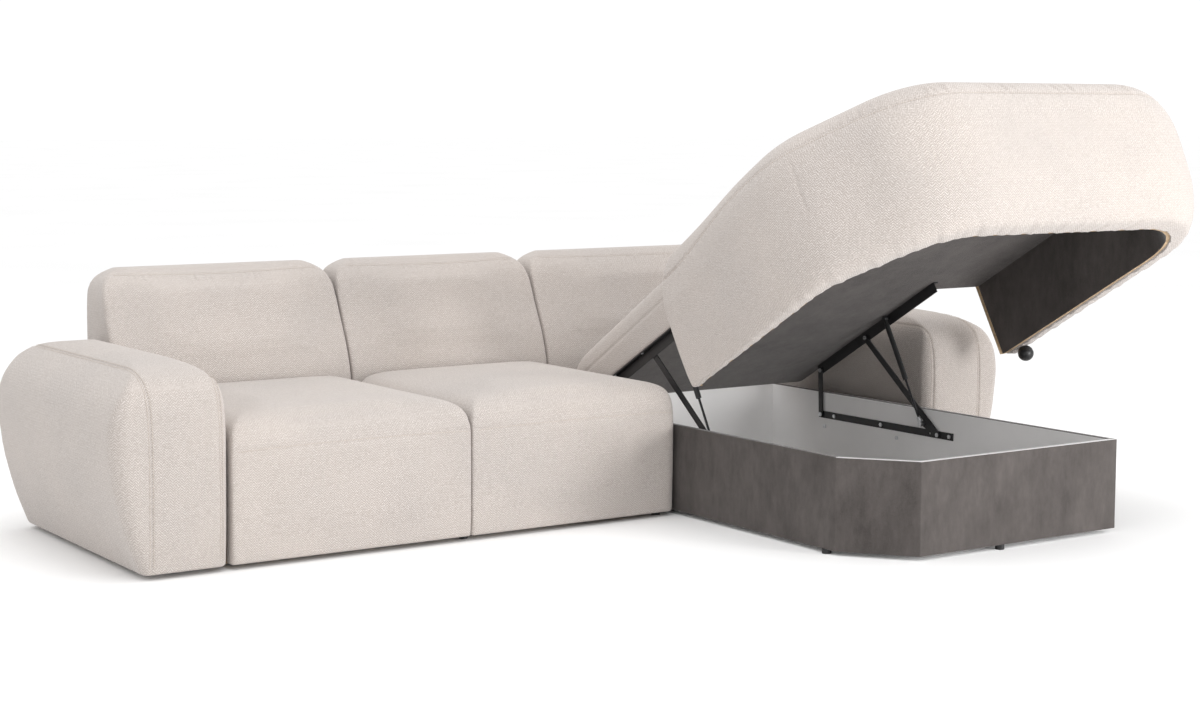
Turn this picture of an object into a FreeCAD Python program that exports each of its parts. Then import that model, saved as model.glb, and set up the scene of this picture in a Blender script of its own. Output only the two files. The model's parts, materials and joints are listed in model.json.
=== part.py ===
import FreeCAD, Part
import math
import os

# Corner sofa with a storage chaise whose seat lifts on two four-bar hinges with gas struts.
# Millimetres. X runs to the right seen from the front, Y to the back, Z up from the floor.
# Everything is drawn from the left arm's front foot corner, and moved at the end so that
# the origin is the middle of the whole footprint, on the floor. The lid is drawn shut and
# then carried to the open pose, which is the pose at rest.

V = FreeCAD.Vector

# Overall sizes
glide_height = 15.0
glide_radius = 14.0
glide_inset = 90.0
arm_width = 248.0
arm_depth = 990.0
arm_height = 604.0
arm_puff_out = 90.0
arm_puff_in = 17.0
right_arm_reach = 50.0
seat_left_width = 789.0
seat_right_width = 771.0
seat_height = 443.0
seat_crown = 10.0
back_height = 812.0
back_foot_z = 300.0
back_foot_y = 775.0
back_rear_y = 1060.0
seam_gap = 3.0
module_gap = 4.0

# Sewn edges of the upholstery
arm_corner = 35.0
seat_corner = 14.0
seat_end_corner = 45.0
back_corner = 22.0
least_corner = 12.0
corner_chords = 3
wide_corner = 100.0
wide_corner_chords = 7
back_overhang = 34.0
back_overhang_gap = 5.0

# Wooden frame inside the upholstery
board = 22.0
thin_board = 18.0
seat_rail_top = 270.0
strap_thickness = 2.0
strap_width = 60.0
straps_per_seat = 5
back_strap_rows = (380.0, 480.0, 580.0)
seat_front_pad = 45.0
seat_end_pad = 36.0
back_frame_y = 985.0
back_frame_depth = 50.0
back_frame_top = 700.0
rear_panel_thickness = 8.0
upright_leg_y = 800.0
shelf_lip = 16.0
arm_board_inset = 10.0
arm_board_top = 490.0
arm_frame_inset = 40.0
bolt_radius = 4.0
bolt_head_radius = 7.5
bolt_head_height = 4.0
bolt_cover = 2.0
seat_bolt_spots = ((150.0, 150.0), (620.0, 150.0))
back_bolt_heights = (120.0, 220.0)

# Storage box
box_width = 965.0
box_front_y = -990.0
box_rear_y = 729.0
box_top = 295.0
box_wall = 16.0
velour = 2.0
box_corner_x = 155.0
box_corner_y = 202.0
box_floor_z = 30.0
box_floor_thickness = 10.0
arm_to_box = 70.0
box_glide_rear = 79.0
box_glide_front = 250.0

# Lift hinge, one on each side wall of the box
rear_pivot_y = 418.0
front_pivot_y = -203.0
pivot_z = 212.0
rear_link_length = 161.0
rear_link_angle = 91.8
lid_tilt_angle = 29.5
top_pivot_spacing = 282.0
rail_height = 25.0
rail_thickness = 3.0
rail_front_y = -275.0
rail_rear_y = 434.0
top_rail_height = 36.0
top_rail_front = 690.0
top_rail_rear = 12.0
top_rail_flange = 20.0
top_rail_wall_gap = 1.0
pivot_below_lid = 22.0
link_width = 22.0
link_thickness = 4.0
link_gap = 0.5
pin_radius = 4.0
pin_head_radius = 7.5
pin_head_height = 3.0
running_clearance = 0.05
open_pivot_gap = 0.4
screw_spots = (60.0, 245.0, 450.0, 640.0)
screw_radius = 2.0
screw_head_radius = 5.0
screw_head_height = 2.5
seat_gap = 0.3
rail_bolt_spots = (346.0, 92.0, -258.0)
rail_free_holes = (-160.0,)
wall_bolt_spots = ((403.0, 169.0), (10.0, 175.0))

# Gas strut
strut_top_along = 425.0
strut_top_up = 10.0
strut_low_y = 67.0
strut_low_z = 31.0
strut_tube_radius = 9.0
strut_rod_radius = 4.0
strut_tube_length = 208.0
strut_side = 22.0
ball_radius = 6.5
socket_radius = 8.5
socket_length = 24.0
stud_radius = 4.0

# Lid, drawn shut
lid_left = 1842.0
lid_right_trim = 5.0
lid_rear_y = 715.0
lid_rear_puff = 26.0
lid_notch_y = -14.0
lid_step_y = -72.0
skirt_left = 1775.0
skirt_right = 3035.0
skirt_front_y = -1030.0
skirt_corner_x = 215.0
skirt_corner_y = 300.0
skirt_corner_radius = 220.0
skirt_front_radius = 240.0
lid_corner = 16.0
skirt_bottom = 52.0
skirt_board = 12.0
hem_height = 24.0
swell_height = 130.0
batten = 20.0
batten_width = 60.0
lid_board = 18.0
lid_puff_side = 120.0
lid_puff_front = 160.0
lid_rim_z = 375.0
lid_top_z = 470.0
lid_rise = 65.0
lid_round = 120.0
lid_crown = 8.0
foot_radius = 27.0
foot_x = 3070.0
foot_y = -140.0
foot_floor_gap = 1.5
foot_rings = 8
foot_sides = 16
foot_stem_radius = 8.0
foot_stem_height = 40.0

# Places that follow from the sizes above
floor = glide_height
x_arm_in = arm_width + arm_puff_in
x_seat = x_arm_in + seam_gap
x_middle = x_seat + seat_left_width
x_seat_end = x_middle + seat_right_width
seat_depth = back_foot_y - seam_gap
x_box = x_seat_end + module_gap
x_box_end = x_box + box_width
x_arm_right = x_box_end + arm_to_box
x_box_mid = (x_box + x_box_end) / 2
strap_top = seat_rail_top + strap_thickness
lid_narrow_right = x_box_end + lid_right_trim
back_bolt_y = (upright_leg_y + arm_depth - arm_frame_inset) / 2


def box(x0, x1, y0, y1, z0, z1):
    return Part.makeBox(x1 - x0, y1 - y0, z1 - z0, V(x0, y0, z0))


def rod(start, end, radius):
    along = end - start
    return Part.makeCylinder(radius, along.Length, start, along)


def hexagon(start, end, radius):
    """Hexagon head along X; radius is to its points."""
    points = [V(start.x, start.y + radius * math.cos(math.pi / 3 * i),
                start.z + radius * math.sin(math.pi / 3 * i)) for i in range(6)]
    return Part.Face(Part.makePolygon(points + points[:1])).extrude(end - start)


def many_sided(x, y, z, radius, sides):
    """Level polygon that stands for a circle."""
    points = [V(x + radius * math.cos(2 * math.pi * i / sides),
                y + radius * math.sin(2 * math.pi * i / sides), z) for i in range(sides)]
    return Part.makePolygon(points + points[:1])


def offset_corners(corners, growth):
    """Corners of a polygon whose sides have each moved out by their own growth."""
    moved = []
    count = len(corners)
    lines = []
    for i in range(count):
        a, b = corners[i], corners[(i + 1) % count]
        length = math.hypot(b[0] - a[0], b[1] - a[1])
        direction = ((b[0] - a[0]) / length, (b[1] - a[1]) / length)
        out = (direction[1], -direction[0])
        lines.append(((a[0] + out[0] * growth[i], a[1] + out[1] * growth[i]), direction))
    for i in range(count):
        (px, py), (dx, dy) = lines[i - 1]
        (qx, qy), (ex, ey) = lines[i]
        cross = dx * ey - dy * ex
        along = ((qx - px) * ey - (qy - py) * ex) / cross
        moved.append((px + dx * along, py + dy * along))
    return moved


def outline(corners, radii, z, growth=None, rise=0.0, rise_from=0.0):
    """Closed wire with round corners; rise tilts it, in height for each mm to the front.

    A round corner is a few equal chords, as many at every level, so that lofts stay light.
    """
    count = len(corners)
    growth = growth or [0.0] * count
    moved = offset_corners(corners, growth)
    points = []
    for i in range(count):
        here, before, after = moved[i], moved[i - 1], moved[(i + 1) % count]
        back = (before[0] - here[0], before[1] - here[1])
        ahead = (after[0] - here[0], after[1] - here[1])
        back_length, ahead_length = math.hypot(*back), math.hypot(*ahead)
        back = (back[0] / back_length, back[1] / back_length)
        ahead = (ahead[0] / ahead_length, ahead[1] / ahead_length)
        convex = back[1] * ahead[0] - back[0] * ahead[1] > 0
        grown = min(growth[i - 1], growth[i]) if convex else -max(growth[i - 1], growth[i])
        radius = max(least_corner, radii[i] + grown)
        half = math.acos(max(-1.0, min(1.0, back[0] * ahead[0] + back[1] * ahead[1]))) / 2
        bisector = (back[0] + ahead[0], back[1] + ahead[1])
        reach = radius / math.sin(half) / math.hypot(*bisector)
        centre = (here[0] + bisector[0] * reach, here[1] + bisector[1] * reach)
        chords = wide_corner_chords if radii[i] > wide_corner else corner_chords
        middle = math.atan2(-bisector[1], -bisector[0])
        sweep = (math.pi - 2 * half) * (1 if convex else -1)
        for step in range(chords + 1):
            angle = middle + sweep * (step / chords - 0.5)
            points.append((centre[0] + radius * math.cos(angle),
                           centre[1] + radius * math.sin(angle)))
    return Part.makePolygon([V(x, y, z + rise * (rise_from - y)) for x, y in points + points[:1]])


def prism(corners, radii, z0, z1, growth=None):
    return Part.Face(outline(corners, radii, z0, growth)).extrude(V(0, 0, z1 - z0))


def plain_prism(corners, z0, z1):
    wire = Part.makePolygon([V(x, y, z0) for x, y in corners + corners[:1]])
    return Part.Face(wire).extrude(V(0, 0, z1 - z0))


def cushion(corners, radii, levels):
    """Sewn form: a ruled loft through outlines at rising levels, each side with its growth."""
    wires = [outline(corners, radii, level[0], level[1:]) for level in levels]
    return Part.makeLoft(wires, True, True)


def mirrored(shape, x):
    return shape.mirror(V(x, 0, 0), V(1, 0, 0))


def group(shapes):
    return Part.makeCompound(shapes)


# Arms

def arm_upholstery(depth):
    """Left arm from its front foot corner; sides in order front, inner, rear, outer."""
    corners = [(0, 0), (arm_width, 0), (arm_width, depth), (0, depth)]
    top = arm_height
    wide, inner = arm_puff_out, arm_puff_in
    levels = [
        (floor, 0, 0, 0, 0),
        (floor + 110, 8, inner * 0.4, 4, wide * 0.46),
        (floor + 240, 14, inner * 0.8, 6, wide * 0.82),
        (top - 204, 16, inner, 6, wide),
        (top - 124, 10, inner * 0.9, 2, wide * 0.86),
        (top - 74, -6, inner * 0.3, -8, wide * 0.5),
        (top - 42, -40, -10, -24, wide * 0.12),
        (top - 18, -120, -34, -64, -24),
        (top - 5, -240, -62, -140, -62),
        (top, -360, -88, -220, -92),
    ]
    return cushion(corners, [arm_corner] * 4, levels)


def arm_frame(depth):
    """Foot board and one upright board, glued and screwed."""
    upright_x = arm_width - arm_board_inset - thin_board
    foot = box(arm_frame_inset, upright_x + thin_board, arm_frame_inset, depth - arm_frame_inset,
               floor, floor + thin_board)
    upright = box(upright_x, upright_x + thin_board, arm_frame_inset, depth - arm_frame_inset,
                  floor + thin_board, arm_board_top)
    return foot.fuse(upright).removeSplitter()


def arm_pair():
    left_frame = arm_frame(arm_depth)
    left = arm_upholstery(arm_depth).cut(left_frame)
    right_depth = arm_depth + right_arm_reach
    right_frame = arm_frame(right_depth)
    right = arm_upholstery(right_depth).cut(right_frame)
    placed = []
    for shape in (right, right_frame):
        turned = mirrored(shape, 0)
        turned.translate(V(x_arm_right + arm_width, -right_arm_reach, 0))
        placed.append(turned)
    return left, left_frame, placed[0], placed[1]


# Seats

def seat_upholstery(x0, x1, left_corner, right_corner, end_pad):
    """Top pad and front apron in one cover, open below and behind over the frame."""
    corners = [(x0, 0), (x1, 0), (x1, seat_depth), (x0, seat_depth)]
    top = seat_height
    levels = [
        (floor, 0, 0, 0, 0),
        (floor + 180, 7, 0, 0, 0),
        (top - 90, 8, 0, 0, 0),
        (top - 50, 2, -3, 0, -3),
        (top - 24, -16, -12, 0, -12),
        (top - 8, -46, -34, 0, -34),
        (top, -100, -80, 0, -80),
        (top + seat_crown, -240, -200, -60, -200),
    ]
    form = cushion(corners, [left_corner, right_corner, least_corner, least_corner], levels)
    hollow = box(x0 - 1, x1 - end_pad, seat_front_pad, seat_depth + 1, floor - 1, strap_top)
    return form.cut(hollow)


def seat_frame():
    left_end = x_seat
    right_end = x_seat_end - seat_end_pad
    front = box(left_end, right_end, seat_front_pad, seat_front_pad + board, floor, seat_rail_top)
    rear_y = upright_leg_y - board
    rear = box(left_end, right_end, rear_y, rear_y + board, floor, seat_rail_top)
    cross = []
    for x in (left_end, x_middle - board / 2, right_end - board):
        cross.append(box(x, x + board, seat_front_pad + board, rear_y, floor, seat_rail_top))
    straps = []
    for start, width in ((x_seat, seat_left_width), (x_middle, seat_right_width - seat_end_pad)):
        pitch = width / straps_per_seat
        for i in range(straps_per_seat):
            middle = start + pitch * (i + 0.5)
            straps.append(box(middle - strap_width / 2, middle + strap_width / 2,
                              seat_front_pad, rear_y + board, seat_rail_top, strap_top))
    return front, rear, group(cross), group(straps)


# Backs

def back_upholstery(x0, x1, frame_left, frame_right, notch_left=False, notch_right=False):
    """Tall pad, open behind over the frame; an end that meets an arm is notched over it."""
    corners = [(x0, back_foot_y), (x1, back_foot_y), (x1, back_rear_y), (x0, back_rear_y)]
    top = back_height
    levels = [
        (back_foot_z, 0, 0, 0, 0),
        (seat_height, -10, -1, 0, -1),
        (seat_height + 90, -38, -1, 0, -1),
        (top - 165, -92, -1, 0, -1),
        (top - 80, -124, -3, 0, -3),
        (top - 38, -146, -14, -6, -14),
        (top - 14, -178, -36, -26, -36),
        (top, -208, -78, -44, -78),
    ]
    form = cushion(corners, [back_corner] * 4, levels)
    behind = box(frame_left, frame_right, back_frame_y - strap_thickness, back_rear_y + 1,
                 back_foot_z - 1, back_frame_top)
    form = form.cut(behind)
    over_arm = arm_height + back_overhang_gap
    if notch_left:
        form = form.cut(box(x0 - 1, frame_left, back_foot_y - 1, back_rear_y + 1, 0, over_arm))
    if notch_right:
        form = form.cut(box(frame_right, x1 + 1, back_foot_y - 1, back_rear_y + 1, 0, over_arm))
    return form


def back_upright(x):
    """Side-view board: a deep foot below the seat and a slim post above it."""
    rear = back_frame_y + back_frame_depth
    points = [(upright_leg_y, floor), (rear, floor), (rear, back_frame_top - board),
              (back_frame_y, back_frame_top - board), (back_frame_y, back_foot_z),
              (back_frame_y, back_foot_z - thin_board), (upright_leg_y, back_foot_z - thin_board)]
    wire = Part.makePolygon([V(x, y, z) for y, z in points + points[:1]])
    return Part.Face(wire).extrude(V(board, 0, 0))


def back_frame(x0, x1, posts):
    """Uprights, top rail and the shelf that the back cushions stand on."""
    rear = back_frame_y + back_frame_depth
    uprights = [back_upright(x) for x in posts]
    top = box(x0, x1, back_frame_y, rear, back_frame_top - board, back_frame_top)
    shelf = box(x0, x1, upright_leg_y - shelf_lip, back_frame_y, back_foot_z - thin_board, back_foot_z)
    panel = box(x0, x1, rear, rear + rear_panel_thickness, floor, back_frame_top)
    return group(uprights), top, shelf, panel


def back_straps(spans):
    straps = []
    for x0, x1 in spans:
        for z in back_strap_rows:
            straps.append(box(x0, x1, back_frame_y - strap_thickness, back_frame_y,
                              z, z + strap_width))
    return group(straps)


def bolts_through(spots, x0, x1):
    """Machine bolts along X with a head at each end, as the modules are joined."""
    made = []
    for y, z in spots:
        shank = rod(V(x0, y, z), V(x1, y, z), bolt_radius)
        head = hexagon(V(x0 - bolt_head_height, y, z), V(x0, y, z), bolt_head_radius)
        nut = hexagon(V(x1, y, z), V(x1 + bolt_head_height, y, z), bolt_head_radius)
        made.append(shank.fuse([head, nut]).removeSplitter())
    return made


def wall_bolt(y, z, seat):
    """Bolt driven into the right wall of the box, its head on the face at seat."""
    head = hexagon(V(seat - bolt_head_height, y, z), V(seat, y, z), bolt_head_radius)
    shank = rod(V(seat, y, z), V(x_wall_face + box_wall - bolt_cover, y, z), bolt_radius)
    return head.fuse(shank).removeSplitter()


# Storage box

def box_corners(inset):
    corners = [(x_box, box_rear_y), (x_box, box_front_y + box_corner_y),
               (x_box + box_corner_x, box_front_y), (x_box_end, box_front_y),
               (x_box_end, box_rear_y)]
    return offset_corners(corners, [-inset] * 5)


def box_walls():
    """Left, corner, front, right and rear walls with mitred ends."""
    outer, inner = box_corners(velour), box_corners(velour + box_wall)
    tops = [box_top - velour, box_top, box_top, box_top - velour, box_top - velour]
    walls = []
    for i in range(5):
        j = (i + 1) % 5
        walls.append(plain_prism([outer[i], outer[j], inner[j], inner[i]], floor, tops[i]))
    return walls


def box_cover():
    """Velour round the outside, folded over the top of the two side walls."""
    skin = plain_prism(box_corners(0), floor + 3, box_top)
    skin = skin.cut(plain_prism(box_corners(velour), floor, box_top + 1))
    outer, inner = box_corners(velour), box_corners(velour + box_wall)
    folds = []
    for i in (0, 3):
        folds.append(plain_prism([outer[i], outer[i + 1], inner[i + 1], inner[i]],
                                 box_top - velour, box_top))
    return skin.fuse(folds).removeSplitter()


# Lift hinge; Y and Z of each pivot, open and shut

def turned(point, angle):
    turn = math.radians(angle)
    return (point[0] * math.cos(turn) - point[1] * math.sin(turn),
            point[0] * math.sin(turn) + point[1] * math.cos(turn))


def plus(a, b):
    return (a[0] + b[0], a[1] + b[1])


def distance(a, b):
    return math.hypot(a[0] - b[0], a[1] - b[1])


rear_pivot = (rear_pivot_y, pivot_z)
front_pivot = (front_pivot_y, pivot_z)
top_rear_open = plus(rear_pivot, turned((-rear_link_length, 0), -rear_link_angle))
top_front_open = plus(top_rear_open, turned((-top_pivot_spacing, 0), -lid_tilt_angle))
front_link_length = distance(top_front_open, front_pivot)


def shut_link_angle():
    """Rear link's angle from the forward direction when the lid lies level."""
    reach = front_pivot_y - rear_pivot_y + top_pivot_spacing
    cosine = (front_link_length ** 2 - reach ** 2 - rear_link_length ** 2) / (
        2 * rear_link_length * reach)
    return math.degrees(math.acos(cosine))


rear_link_shut = shut_link_angle()
top_rear_shut = plus(rear_pivot, turned((-rear_link_length, 0), -rear_link_shut))
top_front_shut = plus(top_rear_shut, (-top_pivot_spacing, 0))
lid_underside = top_rear_shut[1] + pivot_below_lid
lid_board_top = lid_underside + velour + batten + lid_board


def angle_of(a, b):
    return math.degrees(math.atan2(b[1] - a[1], b[0] - a[0]))


rear_link_turn = angle_of(rear_pivot, top_rear_shut) - angle_of(rear_pivot, top_rear_open)
front_link_turn = angle_of(front_pivot, top_front_shut) - angle_of(front_pivot, top_front_open)

strut_top_shut = plus(top_rear_shut, (-strut_top_along, strut_top_up))
strut_top_open = plus(top_rear_open, turned((-strut_top_along, strut_top_up), -lid_tilt_angle))
strut_low_open = plus(front_pivot, (strut_low_y, strut_low_z))
strut_low_shut = plus(front_pivot, turned((strut_low_y, strut_low_z), front_link_turn))
strut_open_length = distance(strut_top_open, strut_low_open)
strut_shut_length = distance(strut_top_shut, strut_low_shut)
strut_turn = (angle_of(strut_top_shut, strut_low_shut) - angle_of(strut_top_open, strut_low_open)
              - lid_tilt_angle)

# Planes of the right-hand hinge across X, from the wall inwards
x_wall_face = x_box_end - velour - box_wall
x_rail = x_wall_face - rail_thickness
x_top_rail = x_wall_face - top_rail_wall_gap - rail_thickness
x_link = x_top_rail - link_gap - link_thickness
x_strut = x_wall_face - strut_side


def opened(shape):
    """Carries a piece of the lid from shut to open."""
    moved = shape.copy()
    moved.rotate(V(0, *top_rear_shut), V(1, 0, 0), -lid_tilt_angle)
    moved.translate(V(0, top_rear_open[0] - top_rear_shut[0], top_rear_open[1] - top_rear_shut[1]))
    return moved


def hole(y, z, x0, x1, radius):
    return rod(V(x0 - 1, y, z), V(x1 + 1, y, z), radius)


def slat(points, width, x0, x1):
    """Flat bar with round ends through the points, drawn in side view."""
    pieces = []
    for i, (y, z) in enumerate(points):
        pieces.append(rod(V(x0, y, z), V(x1, y, z), width / 2))
        if i:
            before = points[i - 1]
            length = distance(before, (y, z))
            across = ((z - before[1]) / length * width / 2, (before[0] - y) / length * width / 2)
            quad = [(before[0] + across[0], before[1] + across[1]), (y + across[0], z + across[1]),
                    (y - across[0], z - across[1]), (before[0] - across[0], before[1] - across[1])]
            wire = Part.makePolygon([V(x0, a, b) for a, b in quad + quad[:1]])
            pieces.append(Part.Face(wire).extrude(V(x1 - x0, 0, 0)))
    return pieces[0].fuse(pieces[1:]).removeSplitter()


def lower_rail():
    bar = box(x_rail, x_wall_face, rail_front_y, rail_rear_y,
              pivot_z - rail_height / 2, pivot_z + rail_height / 2)
    for y in (rear_pivot_y, front_pivot_y):
        bar = bar.cut(hole(y, pivot_z, x_rail, x_wall_face, pin_radius + running_clearance))
    for y in rail_bolt_spots + rail_free_holes:
        bar = bar.cut(hole(y, pivot_z, x_rail, x_wall_face, bolt_radius))
    return bar


def top_rail():
    """Angle under the lid: a web that carries the pivots and a flange screwed to the lid."""
    front_y = top_rear_shut[0] - top_rail_front
    rear_y = top_rear_shut[0] + top_rail_rear
    web = box(x_top_rail, x_top_rail + rail_thickness, front_y, rear_y,
              lid_underside - top_rail_height, lid_underside)
    flange = box(x_top_rail + rail_thickness, x_top_rail + top_rail_flange, front_y, rear_y,
                 lid_underside - rail_thickness, lid_underside)
    rail = web.fuse(flange).removeSplitter()
    bore = hole(*top_rear_shut, x_top_rail, x_top_rail + rail_thickness,
                pin_radius + running_clearance)
    return rail.cut(bore)


def link_pin(pivot, x_far):
    """Pin fast in a link, with its head on the inner face."""
    y, z = pivot
    head = rod(V(x_link - pin_head_height, y, z), V(x_link, y, z), pin_head_radius)
    shank = rod(V(x_link, y, z), V(x_far, y, z), pin_radius)
    return head.fuse(shank).removeSplitter()


def rear_link():
    bar = slat([rear_pivot, top_rear_open], link_width, x_link, x_link + link_thickness)
    pins = [link_pin(rear_pivot, x_wall_face - open_pivot_gap),
            link_pin(top_rear_open, x_top_rail + rail_thickness)]
    return bar.cut(group(pins)), group(pins)


def front_link():
    """Long arm; its foot widens to a plate that carries the strut's lower ball."""
    bar = slat([front_pivot, top_front_open], link_width, x_link, x_link + link_thickness)
    ear = slat([front_pivot, strut_low_open], link_width, x_link, x_link + link_thickness)
    plate = bar.fuse(ear).removeSplitter()
    pins = [link_pin(front_pivot, x_wall_face - open_pivot_gap),
            link_pin(top_front_open, x_link + link_thickness)]
    return plate.cut(group(pins)), group(pins)


def strut():
    """Tube with its top fitting, rod, and lower ball socket with its stud."""
    top = V(x_strut, *strut_top_open)
    low = V(x_strut, *strut_low_open)
    along = (low - top).normalize()
    reach = socket_length
    tube_end = top + along * (reach + strut_tube_length)
    tube = rod(top + along * reach, tube_end, strut_tube_radius)
    collar = rod(top + along * (ball_radius + 2), top + along * reach, socket_radius - 2)
    eye = rod(top - V(ball_radius, 0, 0), top + V(ball_radius, 0, 0), socket_radius)
    tube = tube.fuse([collar, eye]).removeSplitter()
    rod_start = low - along * reach
    bore_depth = strut_open_length - strut_shut_length + 20
    bore = rod(tube_end - along * bore_depth, tube_end + along, strut_rod_radius + running_clearance)
    tube = tube.cut(bore)
    top_stud = rod(V(x_strut + ball_radius + seat_gap, *strut_top_open),
                   V(x_top_rail, *strut_top_open), stud_radius)
    piston_rod = rod(tube_end - along * 18, rod_start, strut_rod_radius)
    socket = rod(rod_start, low - along * (ball_radius + 1), socket_radius - 1)
    cup = rod(low - V(ball_radius, 0, 0), low + V(ball_radius, 0, 0), socket_radius)
    low_stud = rod(low + V(ball_radius, 0, 0), V(x_link - open_pivot_gap, low.y, low.z), stud_radius)
    socket = socket.fuse([cup, low_stud]).removeSplitter()
    return tube, piston_rod, socket, top_stud


# Lid, shut

def lid_corners():
    return [(lid_left, lid_rear_y), (lid_left, lid_notch_y), (skirt_left, lid_notch_y),
            (skirt_left, skirt_front_y + skirt_corner_y),
            (skirt_left + skirt_corner_x, skirt_front_y), (skirt_right, skirt_front_y),
            (skirt_right, lid_step_y), (lid_narrow_right, lid_step_y),
            (lid_narrow_right, lid_rear_y)]


def lid_radii():
    return [lid_corner, lid_corner, lid_corner, skirt_corner_radius, skirt_corner_radius,
            skirt_front_radius, lid_corner, lid_corner, lid_corner]


def wide_corners():
    """The lid's front part alone; most of its rear side lies inside the narrow part."""
    return lid_corners()[2:7]


def wide_radii():
    return lid_radii()[2:7]


def skirt_growth(skirt, rest=0.0):
    """Growth for the lid outline: the skirt's four sides by one amount, the rest by another."""
    return [rest, rest, skirt, skirt, skirt, skirt, rest, rest, rest]


def lid_hollow():
    """Space in the wide cushion for the skirt and the board."""
    return prism(wide_corners(), wide_radii(), 0, lid_board_top,
                 [velour + skirt_board] * 4 + [0.0])


def lid_form():
    """Wide cushion over the skirt, joined to the flat narrow cushion behind it."""
    corner = (lid_puff_side + lid_puff_front) / 2
    slope = lid_rise / (lid_rear_y - skirt_front_y)

    def loft(corners, radii, levels):
        return Part.makeLoft([outline(corners, radii, z, growth, rise, lid_rear_y)
                              for z, growth, rise in levels], True, True)

    def wide(share, inset):
        side = lid_puff_side * share - inset
        edge = -inset / 2
        return [side, corner * share - inset, lid_puff_front * share - inset, side, edge]

    def narrow(share, inset):
        edge = -inset / 2
        return [edge, 0, lid_round * 0.25 * share + edge, lid_rear_puff * share + edge]

    def rounded(sides, start):
        levels = start + [(lid_rim_z, sides(1.0, 0), 0)]
        height = lid_top_z - lid_rim_z
        for angle in (30, 60, 90):
            turn = math.radians(angle)
            levels.append((lid_rim_z + height * math.sin(turn),
                           sides(1.0, lid_round * (1 - math.cos(turn))), slope * math.sin(turn)))
        levels.append((lid_top_z + lid_crown, sides(1.0, 2.5 * lid_round), slope))
        return levels

    wide_levels = rounded(wide, [(skirt_bottom, wide(0.46, 0), 0),
                                 (skirt_bottom + hem_height, wide(0.66, 0), 0),
                                 (skirt_bottom + swell_height, wide(0.9, 0), 0)])
    narrow_levels = rounded(narrow, [(lid_board_top, narrow(0, 0), 0)])
    inner_end = skirt_front_y + skirt_corner_y + 3 * lid_round
    wide_form = loft(wide_corners(), wide_radii(), wide_levels)
    narrow_corners = [(lid_left, lid_rear_y), (lid_left, inner_end),
                      (lid_narrow_right, inner_end), (lid_narrow_right, lid_rear_y)]
    narrow_form = loft(narrow_corners, [lid_corner] * 4, narrow_levels)
    return wide_form.cut(lid_hollow()).fuse(narrow_form).removeSplitter()


def lid_pieces():
    corners, radii = lid_corners(), lid_radii()
    under = lid_underside
    lining_top = under + velour
    board_top = lid_board_top
    board_bottom = board_top - lid_board
    around = velour + skirt_board
    cover = lid_form()
    far = 2000.0

    plate = prism(corners, radii, board_bottom, board_top, skirt_growth(around, -velour))

    lining = prism(corners, radii, under, lining_top)
    strip = prism(corners, radii, skirt_bottom + 6, under, skirt_growth(velour))
    strip = strip.cut(prism(corners, radii, 0, under + 1))
    edge = prism(corners, radii, lining_top, board_top)
    edge = edge.cut(prism(corners, radii, 0, board_top + 1, skirt_growth(around, -velour)))
    lining = lining.fuse([strip, edge]).removeSplitter()

    skirt = prism(corners, radii, skirt_bottom + 6, board_bottom, skirt_growth(around))
    skirt = skirt.cut(prism(corners, radii, 0, board_bottom + 1, skirt_growth(velour)))
    skirt = skirt.common(lid_hollow())
    front_line = skirt_front_y + skirt_corner_y
    right_line = skirt_right - skirt_front_radius
    left_skirt = skirt.common(box(skirt_left - far, x_box_mid, front_line, lid_notch_y, 0, far))
    front_skirt = skirt.common(box(skirt_left - far, right_line, skirt_front_y - far, front_line,
                                   0, far))
    right_skirt = skirt.common(box(right_line, skirt_right + far, skirt_front_y - far,
                                   lid_step_y, 0, far))

    battens = []
    inner_left, inner_right = lid_left + velour, lid_narrow_right - velour
    battens_front, battens_rear = rail_front_y - batten_width, lid_rear_y - lid_corner
    for x0 in (inner_left, inner_right - batten_width):
        battens.append(box(x0, x0 + batten_width, battens_front, battens_rear,
                           lining_top, board_bottom))
    for y0 in (battens_front, battens_rear - batten_width):
        battens.append(box(inner_left + batten_width, inner_right - batten_width,
                           y0, y0 + batten_width, lining_top, board_bottom))
    screws = []
    screw_x = x_top_rail + top_rail_flange * 0.65
    for along in screw_spots:
        y = top_rear_shut[0] - along
        for x in (screw_x, 2 * x_box_mid - screw_x):
            seat = under - rail_thickness
            head = Part.Face(many_sided(x, y, seat - screw_head_height, screw_head_radius, 8))
            shank = Part.Face(many_sided(x, y, seat, screw_radius, 8))
            screws.append(head.extrude(V(0, 0, screw_head_height)).fuse(
                shank.extrude(V(0, 0, board_bottom - seat))).removeSplitter())
    return (cover, plate, lining, left_skirt, front_skirt, right_skirt, group(battens),
            group(screws))


def lid_foot():
    """Round foot under the skirt's rear right end, with its stem in the skirt's padding."""
    rings = []
    for step in range(1, foot_rings):
        turn = math.pi * step / foot_rings - math.pi / 2
        rings.append(many_sided(foot_x, foot_y,
                                foot_floor_gap + foot_radius * (1 + math.sin(turn)),
                                foot_radius * math.cos(turn), foot_sides))
    ball = Part.makeLoft(rings, True, True)
    top = skirt_bottom + foot_stem_height
    stem_start = foot_floor_gap + foot_radius
    stem = Part.Face(many_sided(foot_x, foot_y, stem_start, foot_stem_radius, foot_sides))
    return ball.fuse(stem.extrude(V(0, 0, top - stem_start))).removeSplitter()


# Assembly

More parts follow.
